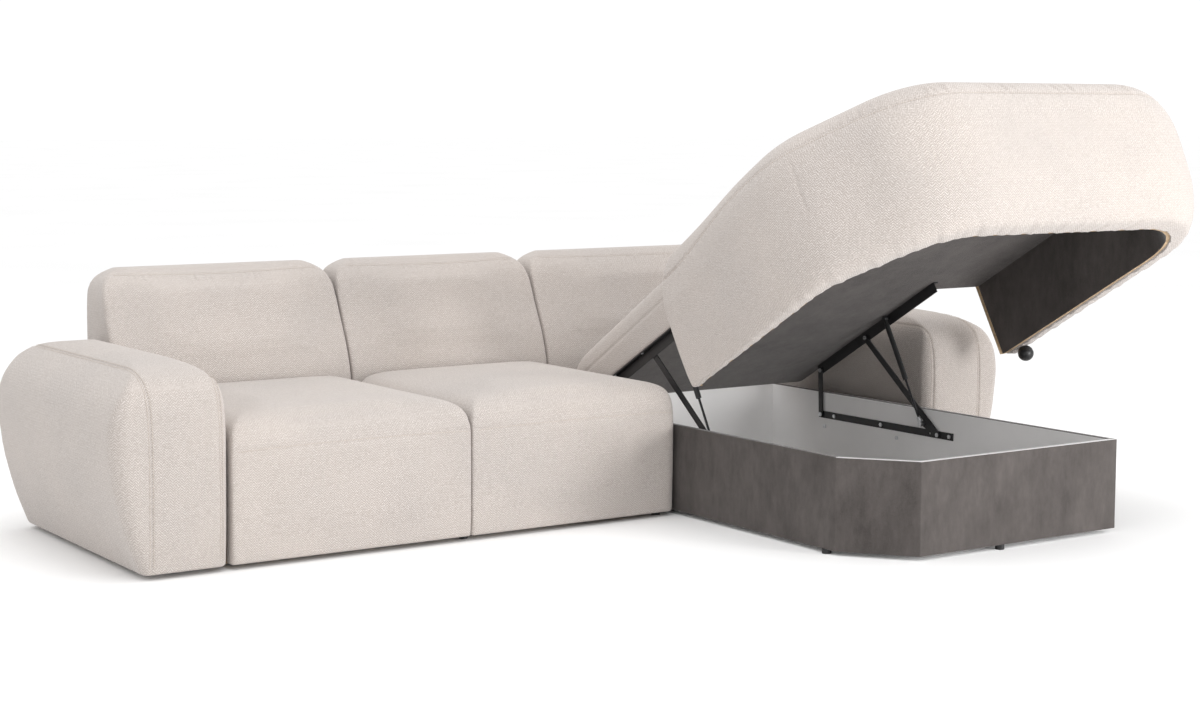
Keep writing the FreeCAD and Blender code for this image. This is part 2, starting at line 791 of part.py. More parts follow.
def build():
    parts = {}
    arm_left, arm_frame_left, arm_right, arm_frame_right = arm_pair()
    seat_left = seat_upholstery(x_seat, x_middle, seat_corner, seat_corner, -1)
    seat_right = seat_upholstery(x_middle, x_seat_end, seat_corner, seat_end_corner, seat_end_pad)
    front_rail, rear_rail, cross_rails, seat_straps = seat_frame()

    left_end, right_end = x_seat, x_arm_right - arm_puff_in - seam_gap
    chaise_left = x_box + velour
    posts = (left_end, x_middle - board / 2, x_seat_end - board)
    chaise_posts = (chaise_left, right_end - board)
    uprights, top, shelf, panel = back_frame(left_end, x_seat_end, posts)
    chaise_uprights, chaise_top, chaise_shelf, chaise_panel = back_frame(
        chaise_left, right_end, chaise_posts)
    back_split = x_seat_end + module_gap / 2
    back_left = back_upholstery(x_seat - back_overhang, x_middle, x_seat, x_middle + 1,
                                notch_left=True)
    back_middle = back_upholstery(x_middle, back_split, x_middle - 1, back_split + 1)
    back_right = back_upholstery(back_split, right_end + back_overhang, back_split - 1, right_end,
                                 notch_right=True)
    straps = back_straps([(left_end, x_seat_end), (chaise_left, right_end)])

    walls = box_walls()
    cover = box_cover()
    inner = box_corners(velour + box_wall)
    floor_panel = plain_prism(inner, box_floor_z, box_floor_z + box_floor_thickness)

    # Bolts: rails to walls, seats to arms, back of the seats to the back of the chaise
    box_bolts = [wall_bolt(y, pivot_z, x_rail) for y in rail_bolt_spots]
    box_bolts += [wall_bolt(y, z, x_wall_face) for y, z in wall_bolt_spots]
    box_bolts += [mirrored(bolt, x_box_mid) for bolt in box_bolts]
    for i in (0, 3):
        walls[i] = walls[i].cut(group(box_bolts))

    arm_bolts = bolts_through(seat_bolt_spots, arm_width - arm_board_inset - thin_board, x_seat + board)
    arm_left = arm_left.cut(group(arm_bolts))
    arm_frame_left = arm_frame_left.cut(group(arm_bolts))
    cross_rails = cross_rails.cut(group(arm_bolts))
    right_spots = [(back_bolt_y, z) for z in back_bolt_heights]
    right_bolts = bolts_through(right_spots, right_end - board,
                                x_arm_right + arm_board_inset + thin_board)
    arm_right = arm_right.cut(group(right_bolts))
    arm_frame_right = arm_frame_right.cut(group(right_bolts))
    chaise_uprights = chaise_uprights.cut(group(right_bolts))
    module_bolts = bolts_through(right_spots, x_seat_end - board, chaise_left + board)
    uprights = uprights.cut(group(module_bolts))
    chaise_uprights = chaise_uprights.cut(group(module_bolts))
    frame_bolts = arm_bolts + right_bolts + module_bolts

    # Glides
    sofa_spots = []
    for y in (glide_inset, arm_depth - glide_inset):
        sofa_spots += [(arm_width / 2, y), (x_arm_right + arm_width / 2, y)]
    for x in (x_middle, x_seat_end - seat_end_pad - board / 2):
        sofa_spots.append((x, seat_front_pad + board / 2))
    for x in (x_middle, x_seat_end - board / 2):
        sofa_spots.append((x, back_frame_y))
    sofa_spots.append((right_end - board / 2, back_frame_y))
    box_spots = [(x_box_mid, box_front_y + velour + box_wall / 2)]
    for x in (x_box + velour + box_wall / 2, x_wall_face + box_wall / 2):
        box_spots += [(x, box_rear_y - box_glide_rear), (x, box_front_y + box_glide_front)]
    sofa_glides = [Part.makeCylinder(glide_radius, floor, V(x, y, 0)) for x, y in sofa_spots]
    box_glides = [Part.makeCylinder(glide_radius, floor, V(x, y, 0)) for x, y in box_spots]

    parts["left_arm_upholstery"] = arm_left
    parts["left_arm_frame"] = arm_frame_left
    parts["right_arm_upholstery"] = arm_right
    parts["right_arm_frame"] = arm_frame_right
    parts["left_seat_upholstery"] = seat_left
    parts["right_seat_upholstery"] = seat_right
    parts["seat_front_rail"] = front_rail
    parts["seat_rear_rail"] = rear_rail
    parts["seat_cross_rails"] = cross_rails
    parts["seat_webbing"] = seat_straps
    parts["left_back_upholstery"] = back_left
    parts["middle_back_upholstery"] = back_middle
    parts["right_back_upholstery"] = back_right
    parts["back_uprights"] = uprights
    parts["back_top_rail"] = top
    parts["back_shelf"] = shelf
    parts["back_rear_panel"] = panel
    parts["chaise_back_uprights"] = chaise_uprights
    parts["chaise_back_top_rail"] = chaise_top
    parts["chaise_back_shelf"] = chaise_shelf
    parts["chaise_rear_panel"] = chaise_panel
    parts["back_webbing"] = straps
    parts["frame_bolts"] = group(frame_bolts)
    parts["sofa_glides"] = group(sofa_glides)
    for name, wall in zip(("left", "corner", "front", "right", "rear"), walls):
        parts["box_wall_" + name] = wall
    parts["box_floor"] = floor_panel
    parts["box_cover"] = cover
    parts["box_glides"] = group(box_glides)
    parts["box_bolts"] = group(box_bolts)

    rear_bar, rear_pins = rear_link()
    front_bar, front_pins = front_link()
    tube, piston_rod, socket, top_stud = strut()
    right_side = {
        "lower_rail": lower_rail(),
        "top_rail": opened(top_rail()).fuse(top_stud).removeSplitter(),
        "rear_link": rear_bar,
        "rear_link_pins": rear_pins,
        "front_link": front_bar,
        "front_link_pins": front_pins,
        "strut_tube": tube,
        "strut_rod": piston_rod,
        "strut_socket": socket,
    }
    for name, shape in right_side.items():
        parts["right_" + name] = shape
        parts["left_" + name] = mirrored(shape, x_box_mid)

    names = ("lid_upholstery", "lid_board", "lid_lining", "lid_skirt_left", "lid_skirt_front",
             "lid_skirt_right", "lid_battens", "top_rail_screws")
    shut = dict(zip(names, lid_pieces()))
    shut["lid_foot"] = lid_foot()
    shut["lid_upholstery"] = shut["lid_upholstery"].cut(shut["lid_foot"])
    screws = shut["top_rail_screws"]
    for name in ("lid_lining", "lid_battens"):
        shut[name] = shut[name].cut(screws)
    for name, shape in shut.items():
        parts[name] = opened(shape)
    for side in ("left", "right"):
        parts[side + "_top_rail"] = parts[side + "_top_rail"].cut(parts["top_rail_screws"])
    return parts


def footprint_middle(parts):
    """X and Y of the middle of everything, from meshes, so that curved faces count truly."""
    low_x = low_y = math.inf
    high_x = high_y = -math.inf
    for shape in parts.values():
        points = shape.tessellate(0.5)[0]
        low_x = min(low_x, min(p.x for p in points))
        high_x = max(high_x, max(p.x for p in points))
        low_y = min(low_y, min(p.y for p in points))
        high_y = max(high_y, max(p.y for p in points))
    return (low_x + high_x) / 2, (low_y + high_y) / 2


parts = build()
middle_x, middle_y = footprint_middle(parts)
os.makedirs("parts", exist_ok=True)
for node, shape in parts.items():
    shape.translate(V(-middle_x, -middle_y, 0))
    shape.exportStep("parts/" + node + ".step")
print(len(parts), "nodes; middle at", round(middle_x, 2), round(middle_y, 2))
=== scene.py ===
import bmesh
import bpy
import json
import math
import numpy as np
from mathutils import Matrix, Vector
from mathutils.bvhtree import BVHTree
from mathutils.kdtree import KDTree


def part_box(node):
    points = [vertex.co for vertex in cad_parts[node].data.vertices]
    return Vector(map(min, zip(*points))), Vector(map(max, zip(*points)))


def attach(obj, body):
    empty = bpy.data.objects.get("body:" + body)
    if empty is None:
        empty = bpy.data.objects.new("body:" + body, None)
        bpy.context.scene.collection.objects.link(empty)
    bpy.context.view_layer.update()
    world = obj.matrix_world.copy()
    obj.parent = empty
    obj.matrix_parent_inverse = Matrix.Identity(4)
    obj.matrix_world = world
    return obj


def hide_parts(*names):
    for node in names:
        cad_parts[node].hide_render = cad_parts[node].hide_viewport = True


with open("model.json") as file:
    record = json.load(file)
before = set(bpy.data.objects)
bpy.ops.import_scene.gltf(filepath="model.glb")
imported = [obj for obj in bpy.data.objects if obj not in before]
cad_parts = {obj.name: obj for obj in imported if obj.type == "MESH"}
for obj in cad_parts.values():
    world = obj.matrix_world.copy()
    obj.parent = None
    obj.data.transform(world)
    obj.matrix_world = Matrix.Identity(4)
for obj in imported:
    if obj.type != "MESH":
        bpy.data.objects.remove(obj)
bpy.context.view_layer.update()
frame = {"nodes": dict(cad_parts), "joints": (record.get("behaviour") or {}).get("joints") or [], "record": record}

# Corner sofa with a lifting chaise seat over a storage box. Metres; Z up; the sofa faces -Y.
# Lengths are measured from the left arm's front foot corner, whose place comes from the frame.
# The lid's pieces are shaped as if it lay shut and are then carried to the open pose.

scene = bpy.context.scene
nodes = frame["nodes"]

# Sizes in the sofa's own lengths
box_left = 1.832
arm_frame_front = 0.040
arm_width = 0.248
arm_depth = 0.990
arm_height = 0.604
right_arm_reach = 0.050
arm_puff = 0.090
arm_inner_puff = 0.017
floor_gap = 0.015
arm_seams = (0.024, 0.235)
seat_height = 0.443
back_height = 0.812
back_foot_y = 0.775
back_rear_y = 1.060
back_foot_z = 0.300
seam_gap = 0.003
cushion_pressure = 3.5
cloth = 0.002
cloth_voxel = 0.014
cloth_frames = 20
stitch_offset = 0.0055

corner_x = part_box("box_cover")[0].x - box_left
corner_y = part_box("left_arm_frame")[0].y - arm_frame_front


def place(points):
    """Points in the sofa's own lengths, carried to the frame."""
    points = np.array(points, float)
    points[:, 0] += corner_x
    points[:, 1] += corner_y
    return points


def joint(name):
    return next(j for j in frame["joints"] if j["name"] == name)


# Meshes

def mesh_object(name, points, faces, smooth=True):
    mesh = bpy.data.meshes.new(name)
    mesh.from_pydata([tuple(p) for p in points], [], [tuple(f) for f in faces])
    mesh.update()
    if smooth:
        mesh.shade_smooth()
    made = bpy.data.objects.new(name, mesh)
    scene.collection.objects.link(made)
    return made


def coordinates(obj):
    co = np.empty(len(obj.data.vertices) * 3, np.float32)
    obj.data.vertices.foreach_get("co", co)
    return co.reshape(-1, 3).astype(float)


def vertex_normals(obj):
    out = np.empty(len(obj.data.vertices) * 3, np.float32)
    obj.data.vertices.foreach_get("normal", out)
    return out.reshape(-1, 3).astype(float)


def set_coordinates(obj, points):
    obj.data.vertices.foreach_set("co", np.asarray(points, np.float32).ravel())
    obj.data.update()


def apply_modifiers(obj):
    graph = bpy.context.evaluated_depsgraph_get()
    mesh = bpy.data.meshes.new_from_object(obj.evaluated_get(graph))
    obj.modifiers.clear()
    old = obj.data
    obj.data = mesh
    bpy.data.meshes.remove(old)
    mesh.shade_smooth()
    return obj


def remeshed(obj, voxel):
    change = obj.modifiers.new("remesh", "REMESH")
    change.mode = "VOXEL"
    change.voxel_size = voxel
    return apply_modifiers(obj)


def subdivided(obj, levels=1):
    change = obj.modifiers.new("subdivide", "SUBSURF")
    change.levels = levels
    change.render_levels = levels
    return apply_modifiers(obj)


def smoothed(obj, rounds, keep=None):
    """Evens out the surface; keep gives each vertex its share of the change."""
    mesh = obj.data
    edges = np.empty(len(mesh.edges) * 2, np.int32)
    mesh.edges.foreach_get("vertices", edges)
    a, b = edges.reshape(-1, 2).T
    points = coordinates(obj)
    count = np.bincount(a, minlength=len(points)) + np.bincount(b, minlength=len(points))
    share = np.full((len(points), 1), 1.0) if keep is None else keep.reshape(-1, 1)
    for step in range(rounds):
        pull = 0.5 if step % 2 == 0 else -0.51
        total = np.zeros_like(points)
        for axis in range(3):
            total[:, axis] = (np.bincount(a, points[b, axis], len(points))
                              + np.bincount(b, points[a, axis], len(points)))
        points = points + pull * share * (total / count[:, None] - points)
    set_coordinates(obj, points)
    return obj


def cut(obj, *cutters):
    """Takes the cutters out of the piece."""
    for cutter in cutters:
        change = obj.modifiers.new("cut", "BOOLEAN")
        change.operation = "DIFFERENCE"
        change.solver = "EXACT"
        change.object = cutter
        apply_modifiers(obj)
        bpy.data.objects.remove(cutter)
    return obj


def wall_faces(around, rows, start=0):
    """Faces between closed rows of points that lie one after another."""
    faces = []
    for r in range(start, start + (rows - 1) * around, around):
        for i in range(around):
            j = (i + 1) % around
            faces.append((r + i, r + j, r + around + j, r + around + i))
    return faces


def end_faces(around, rows, start=0):
    last = start + (rows - 1) * around
    return [tuple(reversed(range(start, start + around))), tuple(range(last, last + around))]


def upright_cutter(flat, z0, z1):
    """Straight form over a flat outline, to cut with."""
    points = [(x, y, z) for z in (z0, z1) for x, y in flat]
    faces = end_faces(len(flat), 2) + wall_faces(len(flat), 2)
    return mesh_object("cutter", place(points), faces, smooth=False)


def box_cutter(x0, x1, y0, y1, z0, z1):
    return upright_cutter([(x0, y0), (x1, y0), (x1, y1), (x0, y1)], z0, z1)


# Sewn forms from outlines at rising levels

def offset_corners(corners, growth):
    lines = []
    for i, a in enumerate(corners):
        b = corners[(i + 1) % len(corners)]
        run = np.subtract(b, a)
        run = run / np.hypot(*run)
        lines.append((np.add(a, np.array((run[1], -run[0])) * growth[i]), run))
    moved = []
    for i in range(len(corners)):
        (p, d), (q, e) = lines[i - 1], lines[i]
        cross = d[0] * e[1] - d[1] * e[0]
        along = ((q[0] - p[0]) * e[1] - (q[1] - p[1]) * e[0]) / cross
        moved.append(p + d * along)
    return moved


def ring(corners, radii, growth, least=0.012, arc_steps=10, side_steps=24):
    """Round-cornered outline with as many points on each corner and side at every level."""
    moved = offset_corners(corners, growth)
    count = len(corners)
    arcs = []
    for i in range(count):
        here = moved[i]
        back = moved[i - 1] - here
        ahead = moved[(i + 1) % count] - here
        back, ahead = back / np.hypot(*back), ahead / np.hypot(*ahead)
        convex = back[1] * ahead[0] - back[0] * ahead[1] > 0
        grown = min(growth[i - 1], growth[i]) if convex else -max(growth[i - 1], growth[i])
        radius = max(least, radii[i] + grown)
        half = math.acos(np.clip(back @ ahead, -1, 1)) / 2
        bisector = back + ahead
        centre = here + bisector / np.hypot(*bisector) * radius / math.sin(half)
        middle = math.atan2(-bisector[1], -bisector[0])
        sweep = (math.pi - 2 * half) * (1 if convex else -1)
        turns = middle + sweep * (np.arange(arc_steps + 1) / arc_steps - 0.5)
        arcs.append(centre + radius * np.stack([np.cos(turns), np.sin(turns)], 1))
    points = []
    for i in range(count):
        points.extend(arcs[i])
        start, end = arcs[i][-1], arcs[(i + 1) % count][0]
        for step in range(1, side_steps):
            points.append(start + (end - start) * step / side_steps)
    return np.array(points)


def even_rows(levels, spacing=0.014, passes=6):
    """Levels with equal steps between them, with the corners in their profile rounded."""
    levels = np.array(levels, float)
    steps = np.hypot(np.diff(levels[:, 0]), np.diff(levels[:, 1:-1].mean(1)))
    along = np.concatenate([[0], np.cumsum(steps)])
    at = np.linspace(0, along[-1], max(8, int(along[-1] / spacing)))
    rows = np.stack([np.interp(at, along, column) for column in levels.T], 1)
    for _ in range(passes):
        rows[1:-1] = (rows[:-2] + 2 * rows[1:-1] + rows[2:]) / 4
    return rows


def lofted(name, corners, radii, levels, rise_from=0.0, **steps):
    """Closed form; a level is its height, the growth of each side and its rise to the front."""
    rows = even_rows(levels)
    rings = []
    for row in rows:
        flat = ring(corners, radii, row[1:-1], **steps)
        height = row[0] + row[-1] * (rise_from - flat[:, 1])
        rings.append(np.column_stack([flat, height]))
    around = len(rings[0])
    points = np.vstack(rings + [rings[0].mean(0, keepdims=True), rings[-1].mean(0, keepdims=True)])
    faces = wall_faces(around, len(rings))
    bottom, top = len(points) - 2, len(points) - 1
    last = (len(rings) - 1) * around
    for i in range(around):
        j = (i + 1) % around
        faces.append((bottom, j, i))
        faces.append((top, last + i, last + j))
    return mesh_object(name, place(points), faces)


def inflated(obj, pressure, limit, held):
    """Cloth swelled from inside for a few frames, worked out on a coarser copy of the piece."""
    coarse = bpy.data.objects.new("coarse", obj.data.copy())
    scene.collection.objects.link(coarse)
    remeshed(coarse, cloth_voxel)
    before = coordinates(coarse)
    group = coarse.vertex_groups.new(name="held")
    weight = np.round(np.clip(held(before), 0, 1), 1)
    for level in np.unique(weight):
        group.add([int(i) for i in np.nonzero(weight == level)[0]], float(level), "REPLACE")
    cloth = coarse.modifiers.new("cloth", "CLOTH")
    cloth.settings.use_pressure = True
    cloth.settings.uniform_pressure_force = pressure
    cloth.settings.vertex_group_mass = group.name
    cloth.settings.effector_weights.gravity = 0
    scene.frame_start, scene.frame_end = 1, cloth_frames
    for number in range(1, cloth_frames + 1):
        scene.frame_set(number)
    apply_modifiers(coarse)
    step = coordinates(coarse) - before
    size = np.linalg.norm(step, axis=1, keepdims=True)
    step *= np.minimum(1, limit / np.maximum(size, 1e-9))
    bpy.data.objects.remove(coarse)
    scene.frame_set(1)
    tree = KDTree(len(before))
    for i, point in enumerate(before):
        tree.insert(point, i)
    tree.balance()
    points = coordinates(obj)
    for i, point in enumerate(points.copy()):
        found = tree.find_n(point, 4)
        share = np.array([1 / (distance + 1e-4) for _, _, distance in found])
        points[i] += share @ step[[index for _, index, _ in found]] / share.sum()
    set_coordinates(obj, points)
    return obj


# Seams and stitches

def trace(tree, starts, targets):
    """Where the lines from starts to targets first meet the surface, and its normals there."""
    hits = []
    for start, target in zip(starts, targets):
        start, target = Vector(start), Vector(target)
        place_hit, normal, _, _ = tree.ray_cast(start, (target - start).normalized())
        if place_hit is not None:
            hits.append((place_hit, normal))
    return hits


def surface(obj):
    return BVHTree.FromPolygons([v.co for v in obj.data.vertices],
                                [p.vertices for p in obj.data.polygons])


def evened(points, spacing, closed=False):
    """Points at equal steps along a path."""
    points = np.array(points, float)
    if closed:
        points = np.vstack([points, points[:1]])
    along = np.concatenate([[0], np.cumsum(np.linalg.norm(np.diff(points, axis=0), axis=1))])
    at = np.arange(0, along[-1], spacing)
    return np.stack([np.interp(at, along, column) for column in points.T], 1)


def nearest(obj, path, reach):
    """For each vertex within reach of the path: its index, its distance and how far along."""
    tree = KDTree(len(path))
    for i, point in enumerate(path):
        tree.insert(point, i)
    tree.balance()
    step = np.linalg.norm(path[1] - path[0])
    co = coordinates(obj)
    low, high = path.min(0) - reach, path.max(0) + reach
    near = np.nonzero(np.all((co > low) & (co < high), axis=1))[0]
    found = []
    for i in near:
        _, index, distance = tree.find(co[i])
        if distance < reach:
            found.append((i, distance, index * step))
    return np.array(found).reshape(-1, 3)


def press_seam(obj, path, depth=0.0035, width=0.007):
    """Draws the surface in along a seam."""
    found = nearest(obj, path, 3 * width)
    if not len(found):
        return
    index = found[:, 0].astype(int)
    points, normals = coordinates(obj), vertex_normals(obj)
    points[index] -= normals[index] * (depth * np.exp(-(found[:, 1] / width) ** 2))[:, None]
    set_coordinates(obj, points)


def wave(along, length, seed):
    """Uneven ripple along a seam, between -1 and 1."""
    total = np.zeros_like(along)
    generator = np.random.default_rng(seed)
    for share, weight in ((1.0, 0.5), (0.62, 0.3), (1.7, 0.35), (0.37, 0.2)):
        total += weight * np.sin(2 * math.pi * along / (length * share)
                                 + generator.uniform(0, 2 * math.pi))
    return total


def gather(obj, path, depth, length, reach, seed, side=None):
    """Small creases that run away from a seam; side is the direction in which they lie."""
    found = nearest(obj, path, reach)
    if not len(found):
        return
    index = found[:, 0].astype(int)
    points, normals = coordinates(obj), vertex_normals(obj)
    tail = found[:, 1] / reach
    amount = depth * wave(found[:, 2], length, seed)
    amount *= np.sin(math.pi * np.clip(tail + 0.12, 0, 1)) ** 1.5
    amount *= 0.5 + 0.5 * np.sin(2 * math.pi * found[:, 2] / (length * 7.3) + seed)
    if side is not None:
        path_point = path[np.minimum((found[:, 2] / np.linalg.norm(path[1] - path[0])).astype(int),
                                     len(path) - 1)]
        amount *= ((points[index] - path_point) @ np.array(side, float) > 0)
    points[index] += normals[index] * amount[:, None]
    set_coordinates(obj, points)


def stitches(name, hits, body, offset=0.0, pitch=0.009, length=0.0062, thick=0.0008):
    """Row of stitches on a surface, set off to one side of the line they follow."""
    spots = np.array([np.concatenate([p, n]) for p, n in hits])
    along = np.concatenate([[0], np.cumsum(np.linalg.norm(np.diff(spots[:, :3], axis=0), axis=1))])
    at = np.arange(pitch, along[-1] - pitch, pitch)
    points, faces = [], []

    def spot(where):
        row = np.array([np.interp(where, along, column) for column in spots.T])
        normal = row[3:] / max(np.linalg.norm(row[3:]), 1e-9)
        return row[:3], normal

    for where in at:
        (a, na), (b, nb) = spot(where), spot(where + length)
        run = b - a
        size = np.linalg.norm(run)
        if size < length * 0.5 or size > length * 1.5:
            continue
        run /= size
        normal = na + nb
        normal /= np.linalg.norm(normal)
        across = np.cross(run, normal)
        base = len(points)
        for share, swell in ((0.0, 0.35), (0.25, 1.0), (0.75, 1.0), (1.0, 0.35)):
            middle = a + (b - a) * share + across * offset + normal * thick * (0.6 * swell - 0.1)
            for k in range(5):
                turn = 2 * math.pi * k / 5
                points.append(middle + thick * swell * (math.cos(turn) * across
                                                        + math.sin(turn) * normal))
        faces += wall_faces(5, 4, base) + end_faces(5, 4, base)
    made = mesh_object(name, points, faces)
    made.data.materials.append(thread)
    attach(made, body)
    return made


# Materials

shader_names = {"rough": "Roughness", "specular": "Specular IOR Level", "metallic": "Metallic",
                "sheen": "Sheen Weight", "sheen_rough": "Sheen Roughness"}


def material(name, **values):
    """Material, its nodes, its shader and the place on the piece; values go to the shader."""
    made = bpy.data.materials.new(name)
    made.use_nodes = True
    tree = made.node_tree
    shader = tree.nodes["Principled BSDF"]
    for key, value in values.items():
        shader.inputs[shader_names[key]].default_value = value
    return made, tree, shader, node(tree, "TexCoord").outputs["Object"]


def node(tree, kind, values=None, **settings):
    made = tree.nodes.new("ShaderNode" + kind)
    for name, value in settings.items():
        setattr(made, name, value)
    for key, value in (values or {}).items():
        if isinstance(value, bpy.types.NodeSocket):
            tree.links.new(value, made.inputs[key])
        else:
            made.inputs[key].default_value = value
    return made


def maths(tree, operation, a, b=0.0):
    return node(tree, "Math", {0: a, 1: b}, operation=operation).outputs[0]


def mixed(tree, share, a, b):
    made = node(tree, "Mix", {"Factor": share}, data_type="RGBA")
    for socket, value in ((made.inputs[6], a), (made.inputs[7], b)):
        if isinstance(value, bpy.types.NodeSocket):
            tree.links.new(value, socket)
        else:
            socket.default_value = (*value, 1.0)
    return made.outputs[2]


def noise(tree, where, scale, detail=3.0, rough=0.5, stretch=None):
    if stretch:
        where = node(tree, "Mapping", {"Vector": where, "Scale": stretch}).outputs[0]
    return node(tree, "TexNoise", {"Vector": where, "Scale": scale, "Detail": detail,
                                   "Roughness": rough}).outputs["Fac"]


def ranged(tree, value, low, high, to_low=0.0, to_high=1.0):
    return node(tree, "MapRange", {"Value": value, "From Min": low, "From Max": high,
                                   "To Min": to_low, "To Max": to_high}).outputs[0]


def painted(tree, shader, colour):
    tree.links.new(colour, shader.inputs["Base Color"])


def bumped(tree, shader, height, strength, distance):
    made = node(tree, "Bump", {"Height": height, "Strength": strength, "Distance": distance})
    tree.links.new(made.outputs[0], shader.inputs["Normal"])


def chevron(tree, u, v, band, pitch):
    """Herringbone: bands across u, in which slanted yarns turn over at every second band."""
    cell = maths(tree, "DIVIDE", u, band)
    inside = maths(tree, "PINGPONG", cell, 1.0)
    slant = maths(tree, "ADD", maths(tree, "DIVIDE", v, pitch),
                  maths(tree, "MULTIPLY", inside, 1.3))
    yarn = maths(tree, "SINE", maths(tree, "MULTIPLY", slant, 2 * math.pi))
    return maths(tree, "ADD", maths(tree, "MULTIPLY", yarn, 0.5), 0.5)


def weave_material():
    """Off-white structured upholstery cloth with a fine broken herringbone grain."""
    made, tree, shader, where = material("cream_weave", rough=0.92, specular=0.2, sheen=0.25,
                                         sheen_rough=0.5)
    wobble = node(tree, "TexNoise", {"Vector": where, "Scale": 60.0, "Detail": 2.0})
    shift = node(tree, "VectorMath", {0: wobble.outputs["Color"], 1: (0.5, 0.5, 0.5)},
                 operation="SUBTRACT")
    shift = node(tree, "VectorMath", {0: shift.outputs[0], "Scale": 0.006}, operation="SCALE")
    moved = node(tree, "VectorMath", {0: where, 1: shift.outputs[0]}, operation="ADD").outputs[0]
    axes = node(tree, "SeparateXYZ", {"Vector": moved}).outputs
    facing = node(tree, "TexCoord").outputs["Normal"]
    normal = node(tree, "SeparateXYZ", {"Vector": facing}).outputs
    planes = (chevron(tree, axes[1], axes[2], weave_band, weave_pitch),
              chevron(tree, axes[0], axes[2], weave_band, weave_pitch),
              chevron(tree, axes[0], axes[1], weave_band, weave_pitch))
    weights = [maths(tree, "POWER", maths(tree, "ABSOLUTE", normal[i]), 6.0) for i in range(3)]
    total = maths(tree, "ADD", maths(tree, "ADD", weights[0], weights[1]), weights[2])
    grain = 0.0
    for plane, weight in zip(planes, weights):
        grain = maths(tree, "ADD", maths(tree, "MULTIPLY", plane, weight), grain)
    grain = maths(tree, "DIVIDE", grain, total)
    broken = noise(tree, where, 170.0, 2.0, 0.6)
    fine = noise(tree, where, 520.0, 2.0, 0.6)
    grain = maths(tree, "MULTIPLY", grain, ranged(tree, broken, 0.3, 0.62, 0.25, 1.0))
    tone = noise(tree, where, 2.2, 4.0, 0.6)
    warm = mixed(tree, ranged(tree, tone, 0.35, 0.65), cream_cool, cream_warm)
    deep = mixed(tree, ranged(tree, grain, 0.0, 0.9), cream_deep, (1.0, 1.0, 1.0))
    colour = node(tree, "Mix", {"Factor": 1.0}, data_type="RGBA", blend_type="MULTIPLY")
    tree.links.new(warm, colour.inputs[6])
    tree.links.new(deep, colour.inputs[7])
    flecks = mixed(tree, ranged(tree, fine, 0.55, 0.75, 0.0, 0.35), (0.0, 0.0, 0.0),
                   (1.0, 0.99, 0.97))
    bright = node(tree, "Mix", {"Factor": 0.16}, data_type="RGBA", blend_type="ADD")
    tree.links.new(colour.outputs[2], bright.inputs[6])
    tree.links.new(flecks, bright.inputs[7])
    painted(tree, shader, bright.outputs[2])
    relief = maths(tree, "ADD", grain, maths(tree, "MULTIPLY", fine, 0.5))
    bumped(tree, shader, relief, 0.55, 0.0016)
    return made


def velour_material():
    """Short brushed pile, mottled where it lies in other directions."""
    made, tree, shader, where = material("taupe_velour", rough=0.85, specular=0.25, sheen=0.35,
                                         sheen_rough=0.35)
    patches = noise(tree, where, 9.0, 6.0, 0.62, (1.0, 1.0, 0.55))
    streaks = noise(tree, where, 42.0, 5.0, 0.7, (1.0, 1.0, 0.35))
    pile = noise(tree, where, 700.0, 2.0, 0.6)
    share = maths(tree, "ADD", maths(tree, "MULTIPLY", patches, 0.65),
                  maths(tree, "MULTIPLY", streaks, 0.35))
    base = mixed(tree, ranged(tree, share, 0.36, 0.64), velour_dark, velour_light)
    colour = mixed(tree, ranged(tree, pile, 0.35, 0.7, 0.0, 0.25), base, velour_tip)
    painted(tree, shader, colour)
    relief = maths(tree, "ADD", streaks, maths(tree, "MULTIPLY", pile, 0.6))
    bumped(tree, shader, relief, 0.35, 0.0012)
    return made


def laminate_material():
    made, tree, shader, where = material("laminate")
    soft = noise(tree, where, 3.0, 4.0, 0.55)
    peel = noise(tree, where, 380.0, 1.0, 0.4)
    colour = mixed(tree, ranged(tree, soft, 0.35, 0.65), (0.86, 0.855, 0.85), (0.92, 0.91, 0.905))
    painted(tree, shader, colour)
    tree.links.new(ranged(tree, soft, 0.3, 0.7, 0.38, 0.5), shader.inputs["Roughness"])
    bumped(tree, shader, peel, 0.08, 0.0004)
    return made


def board_material():
    """Raw wood board, with long fibres and chips."""
    made, tree, shader, where = material("board", rough=0.75)
    fibres = noise(tree, where, 26.0, 6.0, 0.7, (0.25, 1.0, 3.0))
    chips = noise(tree, where, 160.0, 3.0, 0.6)
    colour = mixed(tree, ranged(tree, fibres, 0.3, 0.7), (0.36, 0.24, 0.13), (0.56, 0.41, 0.26))
    colour = mixed(tree, ranged(tree, chips, 0.5, 0.75, 0.0, 0.4), colour, (0.66, 0.52, 0.36))
    painted(tree, shader, colour)
    bumped(tree, shader, maths(tree, "ADD", fibres, chips), 0.25, 0.0008)
    return made


def webbing_material():
    made, tree, shader, where = material("webbing", rough=0.9)
    axes = node(tree, "SeparateXYZ", {"Vector": where}).outputs
    rib = maths(tree, "SINE", maths(tree, "MULTIPLY", axes[1], 2 * math.pi / 0.003))
    side = maths(tree, "SINE", maths(tree, "MULTIPLY", axes[0], 2 * math.pi / 0.0045))
    lines = maths(tree, "MULTIPLY", rib, side)
    colour = mixed(tree, ranged(tree, lines, -1.0, 1.0), (0.22, 0.2, 0.17), (0.42, 0.38, 0.33))
    painted(tree, shader, colour)
    bumped(tree, shader, lines, 0.3, 0.0008)
    return made


